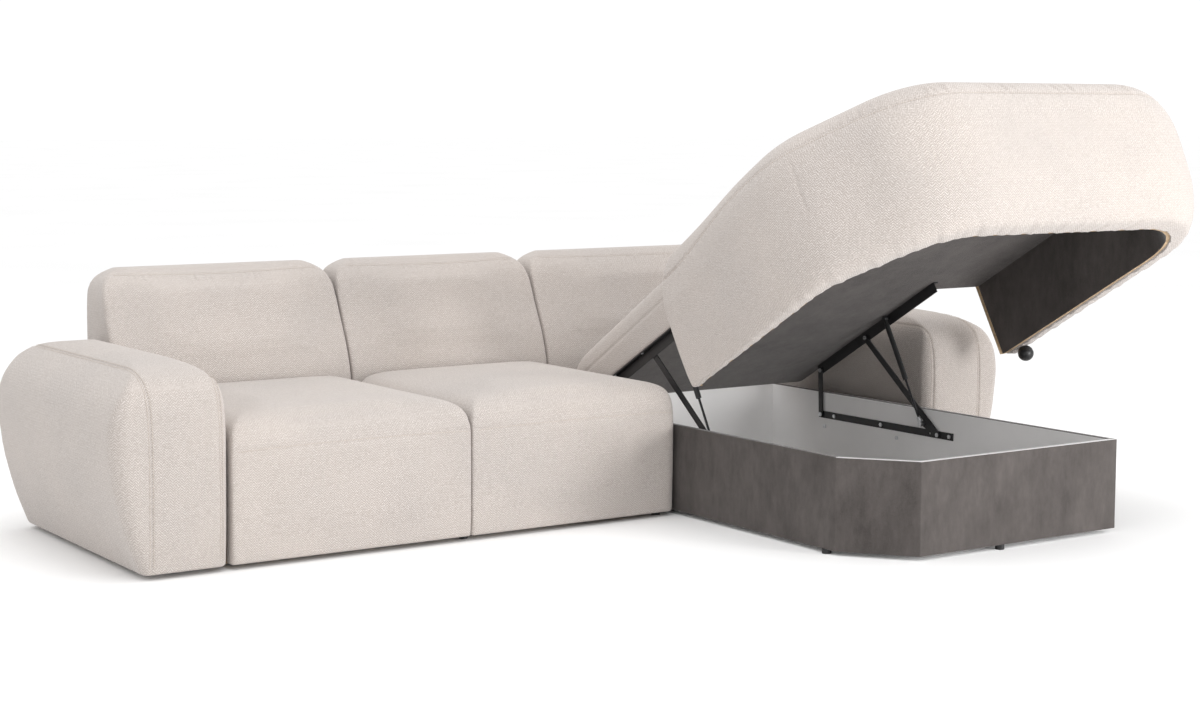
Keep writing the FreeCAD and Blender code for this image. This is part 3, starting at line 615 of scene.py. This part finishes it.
def coated_steel_material(name="black_steel", base=(0.012, 0.012, 0.013), rough=0.42):
    """Black powder coat with its fine orange peel and a little dust."""
    made, tree, shader, where = material(name)
    peel = noise(tree, where, 520.0, 2.0, 0.55)
    dust = noise(tree, where, 14.0, 5.0, 0.6)
    dusty = tuple(3.2 * c for c in base)
    colour = mixed(tree, ranged(tree, dust, 0.5, 0.8, 0.0, 0.35), base, dusty)
    painted(tree, shader, colour)
    worn = ranged(tree, dust, 0.3, 0.7, rough - 0.06, rough + 0.1)
    tree.links.new(worn, shader.inputs["Roughness"])
    bumped(tree, shader, peel, 0.3, 0.0005)
    return made


def zinc_material():
    made, tree, shader, where = material("zinc_steel", metallic=1.0)
    spangle = noise(tree, where, 240.0, 4.0, 0.6)
    colour = mixed(tree, ranged(tree, spangle, 0.3, 0.7), (0.52, 0.53, 0.55), (0.72, 0.73, 0.74))
    painted(tree, shader, colour)
    tree.links.new(ranged(tree, spangle, 0.3, 0.7, 0.24, 0.4), shader.inputs["Roughness"])
    bumped(tree, shader, spangle, 0.08, 0.0003)
    return made


def plastic_material():
    made, tree, shader, where = material("black_plastic")
    grain = noise(tree, where, 620.0, 2.0, 0.5)
    scuff = noise(tree, where, 30.0, 5.0, 0.6)
    colour = mixed(tree, ranged(tree, scuff, 0.55, 0.8, 0.0, 0.5), (0.01, 0.01, 0.011),
                   (0.035, 0.034, 0.033))
    painted(tree, shader, colour)
    tree.links.new(ranged(tree, scuff, 0.3, 0.7, 0.35, 0.55), shader.inputs["Roughness"])
    bumped(tree, shader, grain, 0.2, 0.0004)
    return made


def thread_material():
    made, tree, shader, where = material("thread", rough=0.7)
    twist = noise(tree, where, 900.0, 1.0, 0.5)
    colour = mixed(tree, ranged(tree, twist, 0.3, 0.7), (0.50, 0.43, 0.37), (0.64, 0.57, 0.50))
    painted(tree, shader, colour)
    return made


weave_band = 0.0085
weave_pitch = 0.0075
cream_warm = (0.644, 0.594, 0.559)
cream_cool = (0.596, 0.555, 0.528)
cream_deep = (0.62, 0.59, 0.57)
velour_dark = (0.044, 0.038, 0.0355)
velour_light = (0.092, 0.081, 0.076)
velour_tip = (0.18, 0.16, 0.152)

weave = weave_material()
velour = velour_material()
laminate = laminate_material()
board = board_material()
webbing = webbing_material()
black_steel = coated_steel_material()
rod_steel = coated_steel_material("rod_steel", (0.016, 0.016, 0.018), 0.22)
zinc = zinc_material()
plastic = plastic_material()
thread = thread_material()


# Upholstered pieces

def arm_levels():
    """Height, growth of front, inner side, rear and outer side, and no rise."""
    top, wide, inner = arm_height, arm_puff, arm_inner_puff
    return [
        (floor_gap, 0, inner * 0.6, 0, 0, 0),
        (floor_gap + 0.110, 0.008, inner * 0.8, 0.004, wide * 0.46, 0),
        (floor_gap + 0.240, 0.014, inner * 0.9, 0.006, wide * 0.82, 0),
        (top - 0.204, 0.016, inner, 0.006, wide, 0),
        (top - 0.124, 0.010, inner * 0.9, 0.002, wide * 0.86, 0),
        (top - 0.074, -0.006, inner * 0.3, -0.008, wide * 0.5, 0),
        (top - 0.042, -0.040, -0.010, -0.024, wide * 0.12, 0),
        (top - 0.018, -0.120, -0.034, -0.064, -0.024, 0),
        (top - 0.005, -0.240, -0.062, -0.140, -0.062, 0),
        (top + 0.001, -0.360, -0.088, -0.220, -0.092, 0),
    ]


def mirrored(obj, middle):
    """Turns the piece over to the other side of a plane across X."""
    points = coordinates(obj)
    points[:, 0] = 2 * middle - points[:, 0]
    set_coordinates(obj, points)
    work = bmesh.new()
    work.from_mesh(obj.data)
    bmesh.ops.reverse_faces(work, faces=work.faces)
    work.to_mesh(obj.data)
    work.free()
    obj.data.update()
    return obj


def finished(obj, body, *replaced):
    """Material and body of an upholstered piece; the CAD parts it replaces are hidden."""
    obj.data.materials.clear()
    obj.data.materials.append(weave)
    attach(obj, body)
    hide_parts(*replaced)
    return obj


def arm_form(side, depth, grown=0.0):
    """Arm in its place; a grown one is a cutter for what lies over it."""
    corners = [(0, 0), (arm_width, 0), (arm_width, depth), (0, depth)]
    levels = [(level[0] + grown, *(side_growth + grown for side_growth in level[1:-1]), 0)
              for level in arm_levels()]
    obj = lofted(side + "_arm_pad", corners, [0.035] * 4, levels)
    if side == "right":
        mirrored(obj, place([(arm_width / 2, 0, 0)])[0][0])
        points = coordinates(obj)
        right_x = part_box("right_arm_frame")[0].x - corner_x - 0.010
        points[:, 0] += right_x
        points[:, 1] -= right_arm_reach
        set_coordinates(obj, points)
    return obj


def arm(side, depth):
    obj = arm_form(side, depth)
    remeshed(obj, 0.008)
    smoothed(obj, 6)
    return obj


def arm_seam_paths(obj, side, depth):
    """The two seams that run up the front, along the top and down the rear."""
    tree = surface(obj)
    first_y = corner_y - (right_arm_reach if side == "right" else 0.0)
    if side == "left":
        lines = [corner_x + x for x in arm_seams]
    else:
        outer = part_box("right_arm_frame")[0].x - 0.010 + arm_width
        lines = [outer - x for x in arm_seams]
    middle_y, middle_z = first_y + depth / 2, 0.30
    paths = []
    for x in lines:
        starts, targets = [], []
        for turn in np.linspace(-0.5, math.pi + 0.5, 220):
            reach_y, reach_z = math.cos(math.pi - turn), math.sin(turn)
            starts.append((x, middle_y + 1.2 * reach_y, middle_z + 1.2 * reach_z))
            targets.append((x, middle_y, middle_z))
        hits = [h for h in trace(tree, starts, targets) if h[0].z > floor_gap + 0.004]
        paths.append(hits)
    return paths


def within(value, low, high, soft_edge):
    """1 inside the span, falling to 0 over a soft edge at each end."""
    return np.clip(np.minimum(value - low, high - value) / soft_edge, 0, 1)


def seat(name, x0, x1, corner_radii, levels):
    depth = back_foot_y - seam_gap
    corners = [(x0, 0), (x1, 0), (x1, depth), (x0, depth)]
    obj = lofted(name, corners, corner_radii, levels, least=0.006)
    remeshed(obj, 0.008)
    smoothed(obj, 3)

    def held(points):
        x, y, z = points[:, 0] - corner_x, points[:, 1] - corner_y, points[:, 2]
        free_top = within(x, x0 + 0.02, x1 - 0.02, 0.14) * within(y, -1, depth - 0.05, 0.12)
        free_front = within(x, x0 + 0.02, x1 - 0.02, 0.14) * within(z, 0.03, 1, 0.10)
        return 1 - np.where(z > seat_height - 0.05, free_top, free_front * (y < 0.05))

    inflated(obj, cushion_pressure, 0.008, held)
    smoothed(obj, 2)
    return obj


def seat_levels():
    top = seat_height - 0.004
    return [
        (floor_gap, 0, 0, 0, 0, 0),
        (floor_gap + 0.180, 0.006, -0.001, 0, -0.001, 0),
        (top - 0.090, 0.007, -0.001, 0, -0.001, 0),
        (top - 0.050, 0.001, -0.004, 0, -0.004, 0),
        (top - 0.024, -0.016, -0.013, 0, -0.013, 0),
        (top - 0.008, -0.046, -0.035, 0, -0.035, 0),
        (top, -0.100, -0.080, 0, -0.080, 0),
        (top + 0.010, -0.240, -0.200, -0.060, -0.200, 0),
    ]


def back_levels():
    top = back_height - 0.003
    return [
        (back_foot_z, 0, 0, 0, 0, 0),
        (seat_height, -0.010, -0.002, 0, -0.002, 0),
        (seat_height + 0.090, -0.038, -0.002, 0, -0.002, 0),
        (top - 0.165, -0.092, -0.002, 0, -0.002, 0),
        (top - 0.080, -0.124, -0.004, 0, -0.004, 0),
        (top - 0.038, -0.146, -0.015, -0.006, -0.015, 0),
        (top - 0.014, -0.178, -0.037, -0.026, -0.037, 0),
        (top, -0.208, -0.080, -0.044, -0.080, 0),
    ]


seat_x0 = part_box("left_seat_upholstery")[0].x - corner_x
seat_x1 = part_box("left_seat_upholstery")[1].x - corner_x
seat_x2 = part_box("right_seat_upholstery")[1].x - corner_x
depth_by_side = {"left": arm_depth, "right": arm_depth + right_arm_reach}

soft = {}
for side, depth in depth_by_side.items():
    soft[side + "_arm"] = arm(side, depth)

for name, x0, x1, right_radius in (("left", seat_x0, seat_x1, 0.008),
                                   ("right", seat_x1, seat_x2, 0.045)):
    soft[name + "_seat"] = seat(name + "_seat_pad", x0, x1, (0.008, right_radius, 0.012, 0.012),
                                seat_levels())


def back(name, x0, x1):
    corners = [(x0, back_foot_y), (x1, back_foot_y), (x1, back_rear_y), (x0, back_rear_y)]
    obj = lofted(name + "_back_pad", corners, [0.022] * 4, back_levels())
    remeshed(obj, 0.008)
    smoothed(obj, 4)

    def held(points):
        x, y, z = points[:, 0] - corner_x, points[:, 1] - corner_y, points[:, 2]
        free = (within(x, x0 + 0.02, x1 - 0.02, 0.16)
                * within(z, seat_height, back_height + 0.1, 0.10))
        return 1 - free * (y < back_rear_y - 0.06)

    inflated(obj, cushion_pressure, 0.009, held)
    smoothed(obj, 2)
    return obj


for name in ("left", "middle", "right"):
    low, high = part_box(name + "_back_upholstery")
    soft[name + "_back"] = back(name, low.x - corner_x, high.x - corner_x)


# Lid

lift, tilt = joint("lid_lift"), joint("lid_tilt")
lid_turn = math.radians(tilt["range_deg"][1] + lift["range_deg"][0])
link_turn = math.radians(lift["range_deg"][0])
pivot = np.array(lift["pos_m"])
hang_open = np.array(tilt["pos_m"])


def turned(points, angle, about):
    points = np.array(points, float) - about
    y = points[:, 1] * math.cos(angle) - points[:, 2] * math.sin(angle)
    z = points[:, 1] * math.sin(angle) + points[:, 2] * math.cos(angle)
    return np.column_stack([points[:, 0], y, z]) + about


hang_shut = turned([hang_open], link_turn, pivot)[0]


def raised(points):
    """From the shut lid to the open one."""
    return turned(np.array(points, float) - hang_shut + hang_open, -lid_turn, hang_open)


lid_left = 1.834
lid_right = 2.802
lid_rear_y = 0.715
lid_notch_y = -0.014
lid_step_y = -0.072
notch_from_y = -0.64
notch_edge_x = 1.752
notch_draw = 0.8
notch_lean = 0.036
notch_lean_from_z = 0.33
notch_lean_height = 0.15
skirt_left = 1.775
skirt_right = 3.035
skirt_front_y = -1.030
skirt_corner_x = 0.215
skirt_corner_y = 0.300
skirt_bottom = 0.052
skirt_thickness = 0.014
lid_puff_side = 0.120
lid_puff_front = 0.160
lid_rim_z = 0.375
lid_top_z = 0.467
lid_rise = 0.065
lid_round = 0.120
lid_crown = 0.008
lid_underside = hang_shut[2] + 0.022
lid_board_top = lid_underside + 0.040
wide_corners = [(skirt_left, lid_notch_y), (skirt_left, skirt_front_y + skirt_corner_y),
                (skirt_left + skirt_corner_x, skirt_front_y), (skirt_right, skirt_front_y),
                (skirt_right, lid_step_y)]
wide_radii = (0.016, 0.220, 0.220, 0.240, 0.016)
slope = lid_rise / (lid_rear_y - skirt_front_y)


def wide_growth(share, inset):
    side = lid_puff_side * share - inset
    corner = (lid_puff_side + lid_puff_front) / 2 * share - inset
    return side, corner, lid_puff_front * share - inset, side, -inset / 2


def narrow_growth(share, inset):
    edge = -inset / 2
    return 0.4 * edge, 0.0, lid_round * 0.25 * share + edge, 0.026 * share + edge


def rounded_levels(growth, start):
    levels = start + [(lid_rim_z, *growth(1.0, 0), 0)]
    height = lid_top_z - lid_rim_z
    for degrees in (22, 45, 67, 90):
        turn = math.radians(degrees)
        levels.append((lid_rim_z + height * math.sin(turn),
                       *growth(1.0, lid_round * (1 - math.cos(turn))), slope * math.sin(turn)))
    levels.append((lid_top_z + lid_crown, *growth(1.0, 2.5 * lid_round), slope))
    return levels


def lid_pad():
    wide = lofted("lid_pad", wide_corners, wide_radii,
                  rounded_levels(wide_growth, [(skirt_bottom, *wide_growth(0.46, 0), 0),
                                               (skirt_bottom + 0.024, *wide_growth(0.66, 0), 0),
                                               (skirt_bottom + 0.130, *wide_growth(0.9, 0), 0)]),
                  lid_rear_y, arc_steps=16, side_steps=40)
    inner_end = skirt_front_y + skirt_corner_y + 3 * lid_round
    corners = [(lid_left, lid_rear_y), (lid_left, inner_end), (lid_right, inner_end),
               (lid_right, lid_rear_y)]
    foot_level = (lid_underside + cloth, *narrow_growth(0, 0), 0)
    narrow = lofted("lid_rear", corners, [0.016] * 4,
                    rounded_levels(narrow_growth, [foot_level]), lid_rear_y)
    with bpy.context.temp_override(active_object=wide, selected_editable_objects=[wide, narrow]):
        bpy.ops.object.join()
    remeshed(wide, 0.010)
    smoothed(wide, 6)
    draw_in_rear_end(wide)
    return wide


def draw_in_rear_end(obj):
    """Brings the rear end of the lid's wide part nearly flush with the narrow part."""
    points = coordinates(obj)
    x, y = points[:, 0] - corner_x, points[:, 1] - corner_y
    rearward = np.clip((y - notch_from_y) / (lid_notch_y - notch_from_y), 0, 1)
    share = rearward ** 2 * (3 - 2 * rearward) * notch_draw
    upward = np.clip((points[:, 2] - notch_lean_from_z) / notch_lean_height, 0, 1)
    edge = notch_edge_x + notch_lean * upward
    drawn = np.where(x < edge, edge + (x - edge) * (1 - share), x)
    points[:, 0] = drawn + corner_x
    set_coordinates(obj, points)


def skirt_hollow(growth, z0, z1):
    """Space inside the skirt, as a cutter."""
    return upright_cutter(ring(wide_corners, wide_radii, [growth] * 4 + [0.05]), z0, z1)


soft["lid"] = lid_pad()

# Arms: seams and stitches
for side, depth in depth_by_side.items():
    obj = soft[side + "_arm"]
    subdivided(obj)
    paths = arm_seam_paths(obj, side, depth)
    for number, hits in enumerate(paths):
        line = evened([h[0] for h in hits], 0.004)
        press_seam(obj, line, 0.0030, 0.0055)
        for letter, offset in (("a", -stitch_offset), ("b", stitch_offset)):
            stitches(f"{side}_arm_stitches_{number}_{letter}", hits, "base", offset)
    finished(obj, "base", side + "_arm_upholstery")


def seat_seam(obj, x0, x1, height):
    """Seam across the front under the rolled edge, drooping at its ends."""
    tree = surface(obj)
    across = np.linspace(x0 + 0.012, x1 - 0.012, 160)
    share = np.linspace(-1, 1, 160)
    starts = place([(x, -0.3, height - 0.006 * s ** 4) for x, s in zip(across, share)])
    return trace(tree, starts, starts + np.array((0, 1.0, 0)))


seat_frame_top = 0.272
seat_front_pad = 0.045
seat_end_pad = 0.036
seat_seam_height = 0.352
back_frame_front = 0.983
back_frame_top = 0.700
back_overhang = 0.034
under_arm_top = 0.500
arm_clearance = 0.004
cut_margin = 0.010

for name, x0, x1 in (("left", seat_x0, seat_x1), ("right", seat_x1, seat_x2)):
    obj = soft[name + "_seat"]
    subdivided(obj)
    hits = seat_seam(obj, x0, x1, seat_seam_height)
    line = evened([h[0] for h in hits], 0.004)
    gather(obj, line[:len(line) * 2 // 3], 0.0016, 0.022, 0.035, seed=3, side=(0, 0, 1))
    press_seam(obj, line, 0.0022, 0.005)
    stitches(name + "_seat_stitches", hits, "base", 0.005)
    end = seat_end_pad if name == "right" else -cut_margin
    cut(obj, box_cutter(x0 - cut_margin, x1 - end, seat_front_pad, back_foot_y + cut_margin,
                        -cut_margin, seat_frame_top))
    finished(obj, "base", name + "_seat_upholstery")


def back_seam(obj, x0, x1):
    """Seam that runs along the rounded top of a back cushion, a little behind its front."""
    tree = surface(obj)
    across = np.linspace(x0 + 0.05, x1 - 0.05, 160)
    starts = place([(x, back_foot_y + 0.175, back_height + 0.3) for x in across])
    return trace(tree, starts, starts - np.array((0, 0, 1.0)))


for seed, name in enumerate(("left", "middle", "right")):
    obj = soft[name + "_back"]
    low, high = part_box(name + "_back_upholstery")
    x0, x1 = low.x - corner_x, high.x - corner_x
    subdivided(obj)
    hits = back_seam(obj, x0, x1)
    line = evened([h[0] for h in hits], 0.004)
    gather(obj, line, 0.0022, 0.026, 0.05, seed=seed + 11, side=(0, -1, 0))
    press_seam(obj, line, 0.0022, 0.005)
    stitches(name + "_back_stitches", hits, "base", 0.005)
    left_end = x0 + back_overhang if name == "left" else x0 - cut_margin
    right_end = x1 - back_overhang if name == "right" else x1 + cut_margin
    cutters = [box_cutter(left_end, right_end, back_frame_front, back_rear_y + 2 * cut_margin,
                          back_foot_z - 2 * cut_margin, back_frame_top)]
    beside_frame = {"left": (x0 - cut_margin, left_end + 0.0005),
                    "right": (right_end - 0.0005, x1 + cut_margin)}
    if name in beside_frame:
        cutters.append(arm_form(name, depth_by_side[name], arm_clearance))
        cutters.append(box_cutter(*beside_frame[name], back_foot_y - 2 * cut_margin,
                                  back_rear_y + 2 * cut_margin, 0.2, under_arm_top))
    cut(obj, *cutters)
    finished(obj, "base", name + "_back_upholstery")


# Lid cover: seam under the top edge, gathers along it, a dart at the cut corner and the hem

def lid_seam(obj, height, rise):
    tree = surface(obj)
    outer = ring(wide_corners, wide_radii, [0.32] * 4 + [0.3])
    inner = ring(wide_corners, wide_radii, [-0.16] * 4 + [-0.1])
    last = len(outer) * 4 // 5
    starts, targets = [], []
    for a, b in zip(outer[6:last], inner[6:last]):
        z = height + rise * (lid_rear_y - b[1])
        starts.append((*a, z))
        targets.append((*b, z))
    return trace(tree, place(starts), place(targets))


def upright_path(obj, x, y, from_x, from_y, z0, z1):
    """Line down the side of the lid, seen from a point outside it."""
    tree = surface(obj)
    heights = np.linspace(z0, z1, 60)
    return trace(tree, place([(from_x, from_y, z) for z in heights]),
                 place([(x, y, z) for z in heights]))


obj = soft["lid"]
subdivided(obj)
narrow_from_y = -0.2
board_gap = ring([(lid_left, lid_rear_y), (lid_left, narrow_from_y), (lid_right, narrow_from_y),
                  (lid_right, lid_rear_y)], [0.018] * 4, [-0.006, -0.004, -0.004, -0.004])
cut(obj, skirt_hollow(skirt_thickness, 0.0, lid_board_top),
    upright_cutter(board_gap, 0.0, lid_board_top))
seam_height, seam_rise = 0.395, slope
hits = lid_seam(obj, seam_height, seam_rise)
line = evened([h[0] for h in hits], 0.004)
front = line[line[:, 1] < corner_y + skirt_front_y + 0.10]
gather(obj, front, 0.0042, 0.034, 0.075, seed=5, side=(0, 0, 1))
gather(obj, line, 0.0012, 0.027, 0.04, seed=8)
press_seam(obj, line, 0.0028, 0.0055)
spots = np.linspace(lid_notch_y - 0.10, lid_rear_y - 0.02, 160)
across = [(y, seam_height + seam_rise * (lid_rear_y - y)) for y in spots]
outside_x, inside_x = 1.5, 2.4
rear_hits = trace(surface(obj), place([(outside_x, *at) for at in across]),
                  place([(inside_x, *at) for at in across]))
press_seam(obj, evened([h[0] for h in rear_hits], 0.004), 0.0028, 0.0055)
dart = upright_path(obj, 2.10, -0.60, 1.50, -0.95, 0.40, 0.25)
press_seam(obj, evened([h[0] for h in dart], 0.004), 0.0035, 0.006)
points = coordinates(obj)
hem_width, hem_ripple = 0.030, 0.0022
hem = np.clip((skirt_bottom + hem_width - points[:, 2]) / hem_width, 0, 1)
around = np.arctan2(points[:, 1] - points[:, 1].mean(), points[:, 0] - points[:, 0].mean())
points[:, 2] += hem_ripple * hem * wave(around, 0.09, 21)
set_coordinates(obj, points)
set_coordinates(obj, raised(coordinates(obj)))
finished(obj, "lid", "lid_upholstery")
carried_hits = [(Vector(raised([p])[0]), Vector(turned([n], -lid_turn, np.zeros(3))[0]))
            for p, n in hits]
stitches("lid_stitches", carried_hits, "lid", stitch_offset)


# Velour skins

def band(paths, closed):
    """Mesh faces between paths that have the same points, in the order given."""
    count = len(paths[0])
    faces = []
    for r in range(len(paths)):
        next_row = (r + 1) % len(paths)
        for i in range(count if closed else count - 1):
            j = (i + 1) % count
            faces.append((r * count + i, r * count + j, next_row * count + j,
                          next_row * count + i))
    if not closed:
        faces.append(tuple(r * count for r in range(len(paths))))
        faces.append(tuple((len(paths) - r - 1) * count + count - 1 for r in range(len(paths))))
    return faces


def skin(flat_outer, flat_inner, z0, z1, closed, hem=0.0):
    """Thin upright wall of cloth between two outlines, with rounded edges."""
    middle = (flat_outer + flat_inner) / 2
    out, rows = flat_outer - middle, []
    for share, z in ((1.0, z0 + 0.001), (1.0, z0 + 0.012), (1.0, (z0 + z1) / 2), (1.0, z1 - 0.002),
                     (0.7, z1 - 0.0005), (0.0, z1), (-0.7, z1 - 0.0005), (-1.0, z1 - 0.002),
                     (-1.0, (z0 + z1) / 2), (-1.0, z0 + 0.012), (-1.0, z0 + 0.001), (0.0, z0)):
        swell = 1 + hem * (z < z0 + 0.011)
        rows.append(np.column_stack([middle + out * share * swell, np.full(len(middle), z)]))
    return np.vstack(rows), band(rows, closed)


def velour_piece(name, parts, body, replaced, carry=None):
    points, faces = [], []
    for part_points, part_faces in parts:
        start = len(points)
        points.extend(place(part_points))
        faces.extend(tuple(start + i for i in face) for face in part_faces)
    if carry:
        points = carry(points)
    obj = mesh_object(name, points, faces)
    obj.data.set_sharp_from_angle(angle=math.radians(35))
    work = bmesh.new()
    work.from_mesh(obj.data)
    bmesh.ops.recalc_face_normals(work, faces=work.faces)
    work.to_mesh(obj.data)
    work.free()
    obj.data.materials.append(velour)
    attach(obj, body)
    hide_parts(replaced)
    return obj


def slab(corners, z0, z1, edge=0.0008):
    """Flat piece of cloth with softened edges."""
    count = len(corners)
    corners = np.array(corners, float)
    middle = corners.mean(0)
    rows = []
    for inset, z in ((edge, z0), (0.0, z0 + edge), (0.0, z1 - edge), (edge, z1)):
        run = corners - middle
        size = np.linalg.norm(run, axis=1, keepdims=True)
        rows.append(np.column_stack([middle + run * (1 - inset / size), np.full(count, z)]))
    return np.vstack(rows), end_faces(count, 4) + wall_faces(count, 4)


box_front = -0.990
box_rear = 0.729
box_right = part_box("box_cover")[1].x - corner_x
box_top = 0.295
box_wall = 0.016
box_outline = [(box_left, box_rear), (box_left, box_front + 0.202), (box_left + 0.155, box_front),
               (box_right, box_front), (box_right, box_rear)]
box_radii = [0.003] * 5
outer = ring(box_outline, box_radii, [0.0] * 5, least=0.003, arc_steps=4, side_steps=40)
inner = ring(box_outline, box_radii, [-cloth] * 5, least=0.001, arc_steps=4, side_steps=40)
parts = [skin(outer, inner, floor_gap - 0.0005, box_top - 0.0006, True, hem=0.25)]
board_outer = offset_corners(box_outline, [-cloth] * 5)
board_inner = offset_corners(box_outline, [-cloth - box_wall] * 5)
for i in (0, 3):
    parts.append(slab([board_outer[i], board_outer[i + 1], board_inner[i + 1], board_inner[i]],
                      box_top - cloth, box_top))
velour_piece("box_skin", parts, "base", "box_cover")

lid_outline = [(lid_left, lid_rear_y), (lid_left, lid_notch_y), *wide_corners,
               (lid_right, lid_step_y), (lid_right, lid_rear_y)]
lid_radii = [wide_radii[0]] * 2 + [*wide_radii] + [wide_radii[0]] * 2
steps = {"arc_steps": 8, "side_steps": 20}
on_side = steps["arc_steps"] + steps["side_steps"]
skirt_from, skirt_to = 2 * on_side + steps["arc_steps"] // 2, 6 * on_side + 4
flat = ring(lid_outline, lid_radii, [0.0] * 9, **steps)
skirt_in = flat[skirt_from:skirt_to + 1]
skirt_out = ring(lid_outline, lid_radii, [0, 0] + [cloth] * 4 + [0] * 3, **steps)[
    skirt_from:skirt_to + 1]
parts = [skin(skirt_out, skirt_in, skirt_bottom + 0.006, lid_underside + cloth, False, hem=0.4),
         slab(flat, lid_underside, lid_underside + cloth)]
velour_piece("lid_skin", parts, "lid", "lid_lining", carry=raised)


def turned_piece(name, profile, at, around=40):
    """Turned form on an upright axis; the profile is pairs of radius and height."""
    turns = 2 * math.pi * np.arange(around) / around
    points = [(at[0] + radius * math.cos(turn), at[1] + radius * math.sin(turn), height)
              for radius, height in profile for turn in turns]
    faces = wall_faces(around, len(profile)) + end_faces(around, len(profile))
    return mesh_object(name, raised(place(points)), faces)


foot_radius = 0.027
foot_bottom = 0.0015
profile = []
for step in range(1, 36):
    turn = math.pi * step / 36 - math.pi / 2
    groove = 0.0012 * math.exp(-((turn - 0.12) / 0.06) ** 2)
    profile.append((foot_radius * math.cos(turn) - groove,
                    foot_bottom + foot_radius * (1 + math.sin(turn))))
profile += [(0.0115, foot_bottom + 2 * foot_radius - 0.002), (0.0105, foot_bottom + 0.0575),
            (0.008, foot_bottom + 0.060), (0.008, skirt_bottom + 0.040)]
profile = [row for row in profile if row[0] > 0.008 or row[1] < foot_bottom + foot_radius
           or row[1] > foot_bottom + 2 * foot_radius]
foot = turned_piece("lid_foot_ball", profile, (3.070, -0.140))
foot.data.set_sharp_from_angle(angle=math.radians(50))
foot.data.materials.append(plastic)
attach(foot, "lid")
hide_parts("lid_foot")


# The frame's own pieces

looks = {"cream_weave": weave, "taupe_velour": velour, "laminate": laminate, "board": board,
         "webbing": webbing, "black_steel": black_steel, "rod_steel": rod_steel,
         "zinc_steel": zinc, "black_plastic": plastic}
for entry in frame["record"]["subparts"]:
    target = nodes[entry["node"]]
    target.data.materials.clear()
    target.data.materials.append(looks[entry["material_slot"]])


# Floor, light and camera

def stage_floor():
    half = 120.0
    floor = mesh_object("floor", [(-half, -half, 0), (half, -half, 0), (half, half, 0),
                                  (-half, half, 0)], [(0, 1, 2, 3)], smooth=False)
    made, tree, shader, where = material("floor_white", rough=0.9, specular=0.1)
    soft_tone = noise(tree, where, 0.6, 2.0, 0.5)
    colour = mixed(tree, ranged(tree, soft_tone, 0.3, 0.7), (0.93, 0.93, 0.93), (0.96, 0.96, 0.96))
    painted(tree, shader, colour)
    floor.data.materials.append(made)


def area_light(name, where, target, size, power, colour=(1.0, 1.0, 1.0)):
    light = bpy.data.lights.new(name, "AREA")
    light.shape = "DISK"
    light.size = size
    light.energy = power
    light.color = colour
    made = bpy.data.objects.new(name, light)
    scene.collection.objects.link(made)
    made.location = where
    made.rotation_euler = (Vector(target) - Vector(where)).to_track_quat("-Z", "Y").to_euler()


def camera():
    eye = place([(-2.1798, -5.569, 1.2696)])[0] + np.array((0, 0, floor_gap))
    heading, pitch = 0.5871, -0.1126
    focal_pixels, image_width, sensor = 2137.0, 1200.0, 36.0
    look = Vector((math.sin(heading) * math.cos(pitch), math.cos(heading) * math.cos(pitch),
                   math.sin(pitch)))
    data = bpy.data.cameras.new("camera")
    data.sensor_width = sensor
    data.lens = focal_pixels * sensor / image_width
    data.clip_end = 200.0
    made = bpy.data.objects.new("camera", data)
    scene.collection.objects.link(made)
    made.location = eye
    made.rotation_euler = look.to_track_quat("-Z", "Y").to_euler()
    scene.camera = made


world = bpy.data.worlds.new("studio")
scene.world = world
world.use_nodes = True
world.node_tree.nodes["Background"].inputs["Color"].default_value = (1.0, 1.0, 1.0, 1.0)
world.node_tree.nodes["Background"].inputs["Strength"].default_value = 1.06
stage_floor()
area_light("key", (-0.7, -5.4, 3.8), (-0.7, 0.4, 0.5), 3.0, 48)
area_light("over", (-0.6, -0.6, 5.0), (-0.5, 0.2, 0.4), 4.0, 70)
area_light("under", (2.4, -4.8, 0.75), (1.2, 0.4, 0.45), 1.4, 120)
camera()
scene.view_settings.view_transform = "Standard"
scene.view_settings.look = "None"
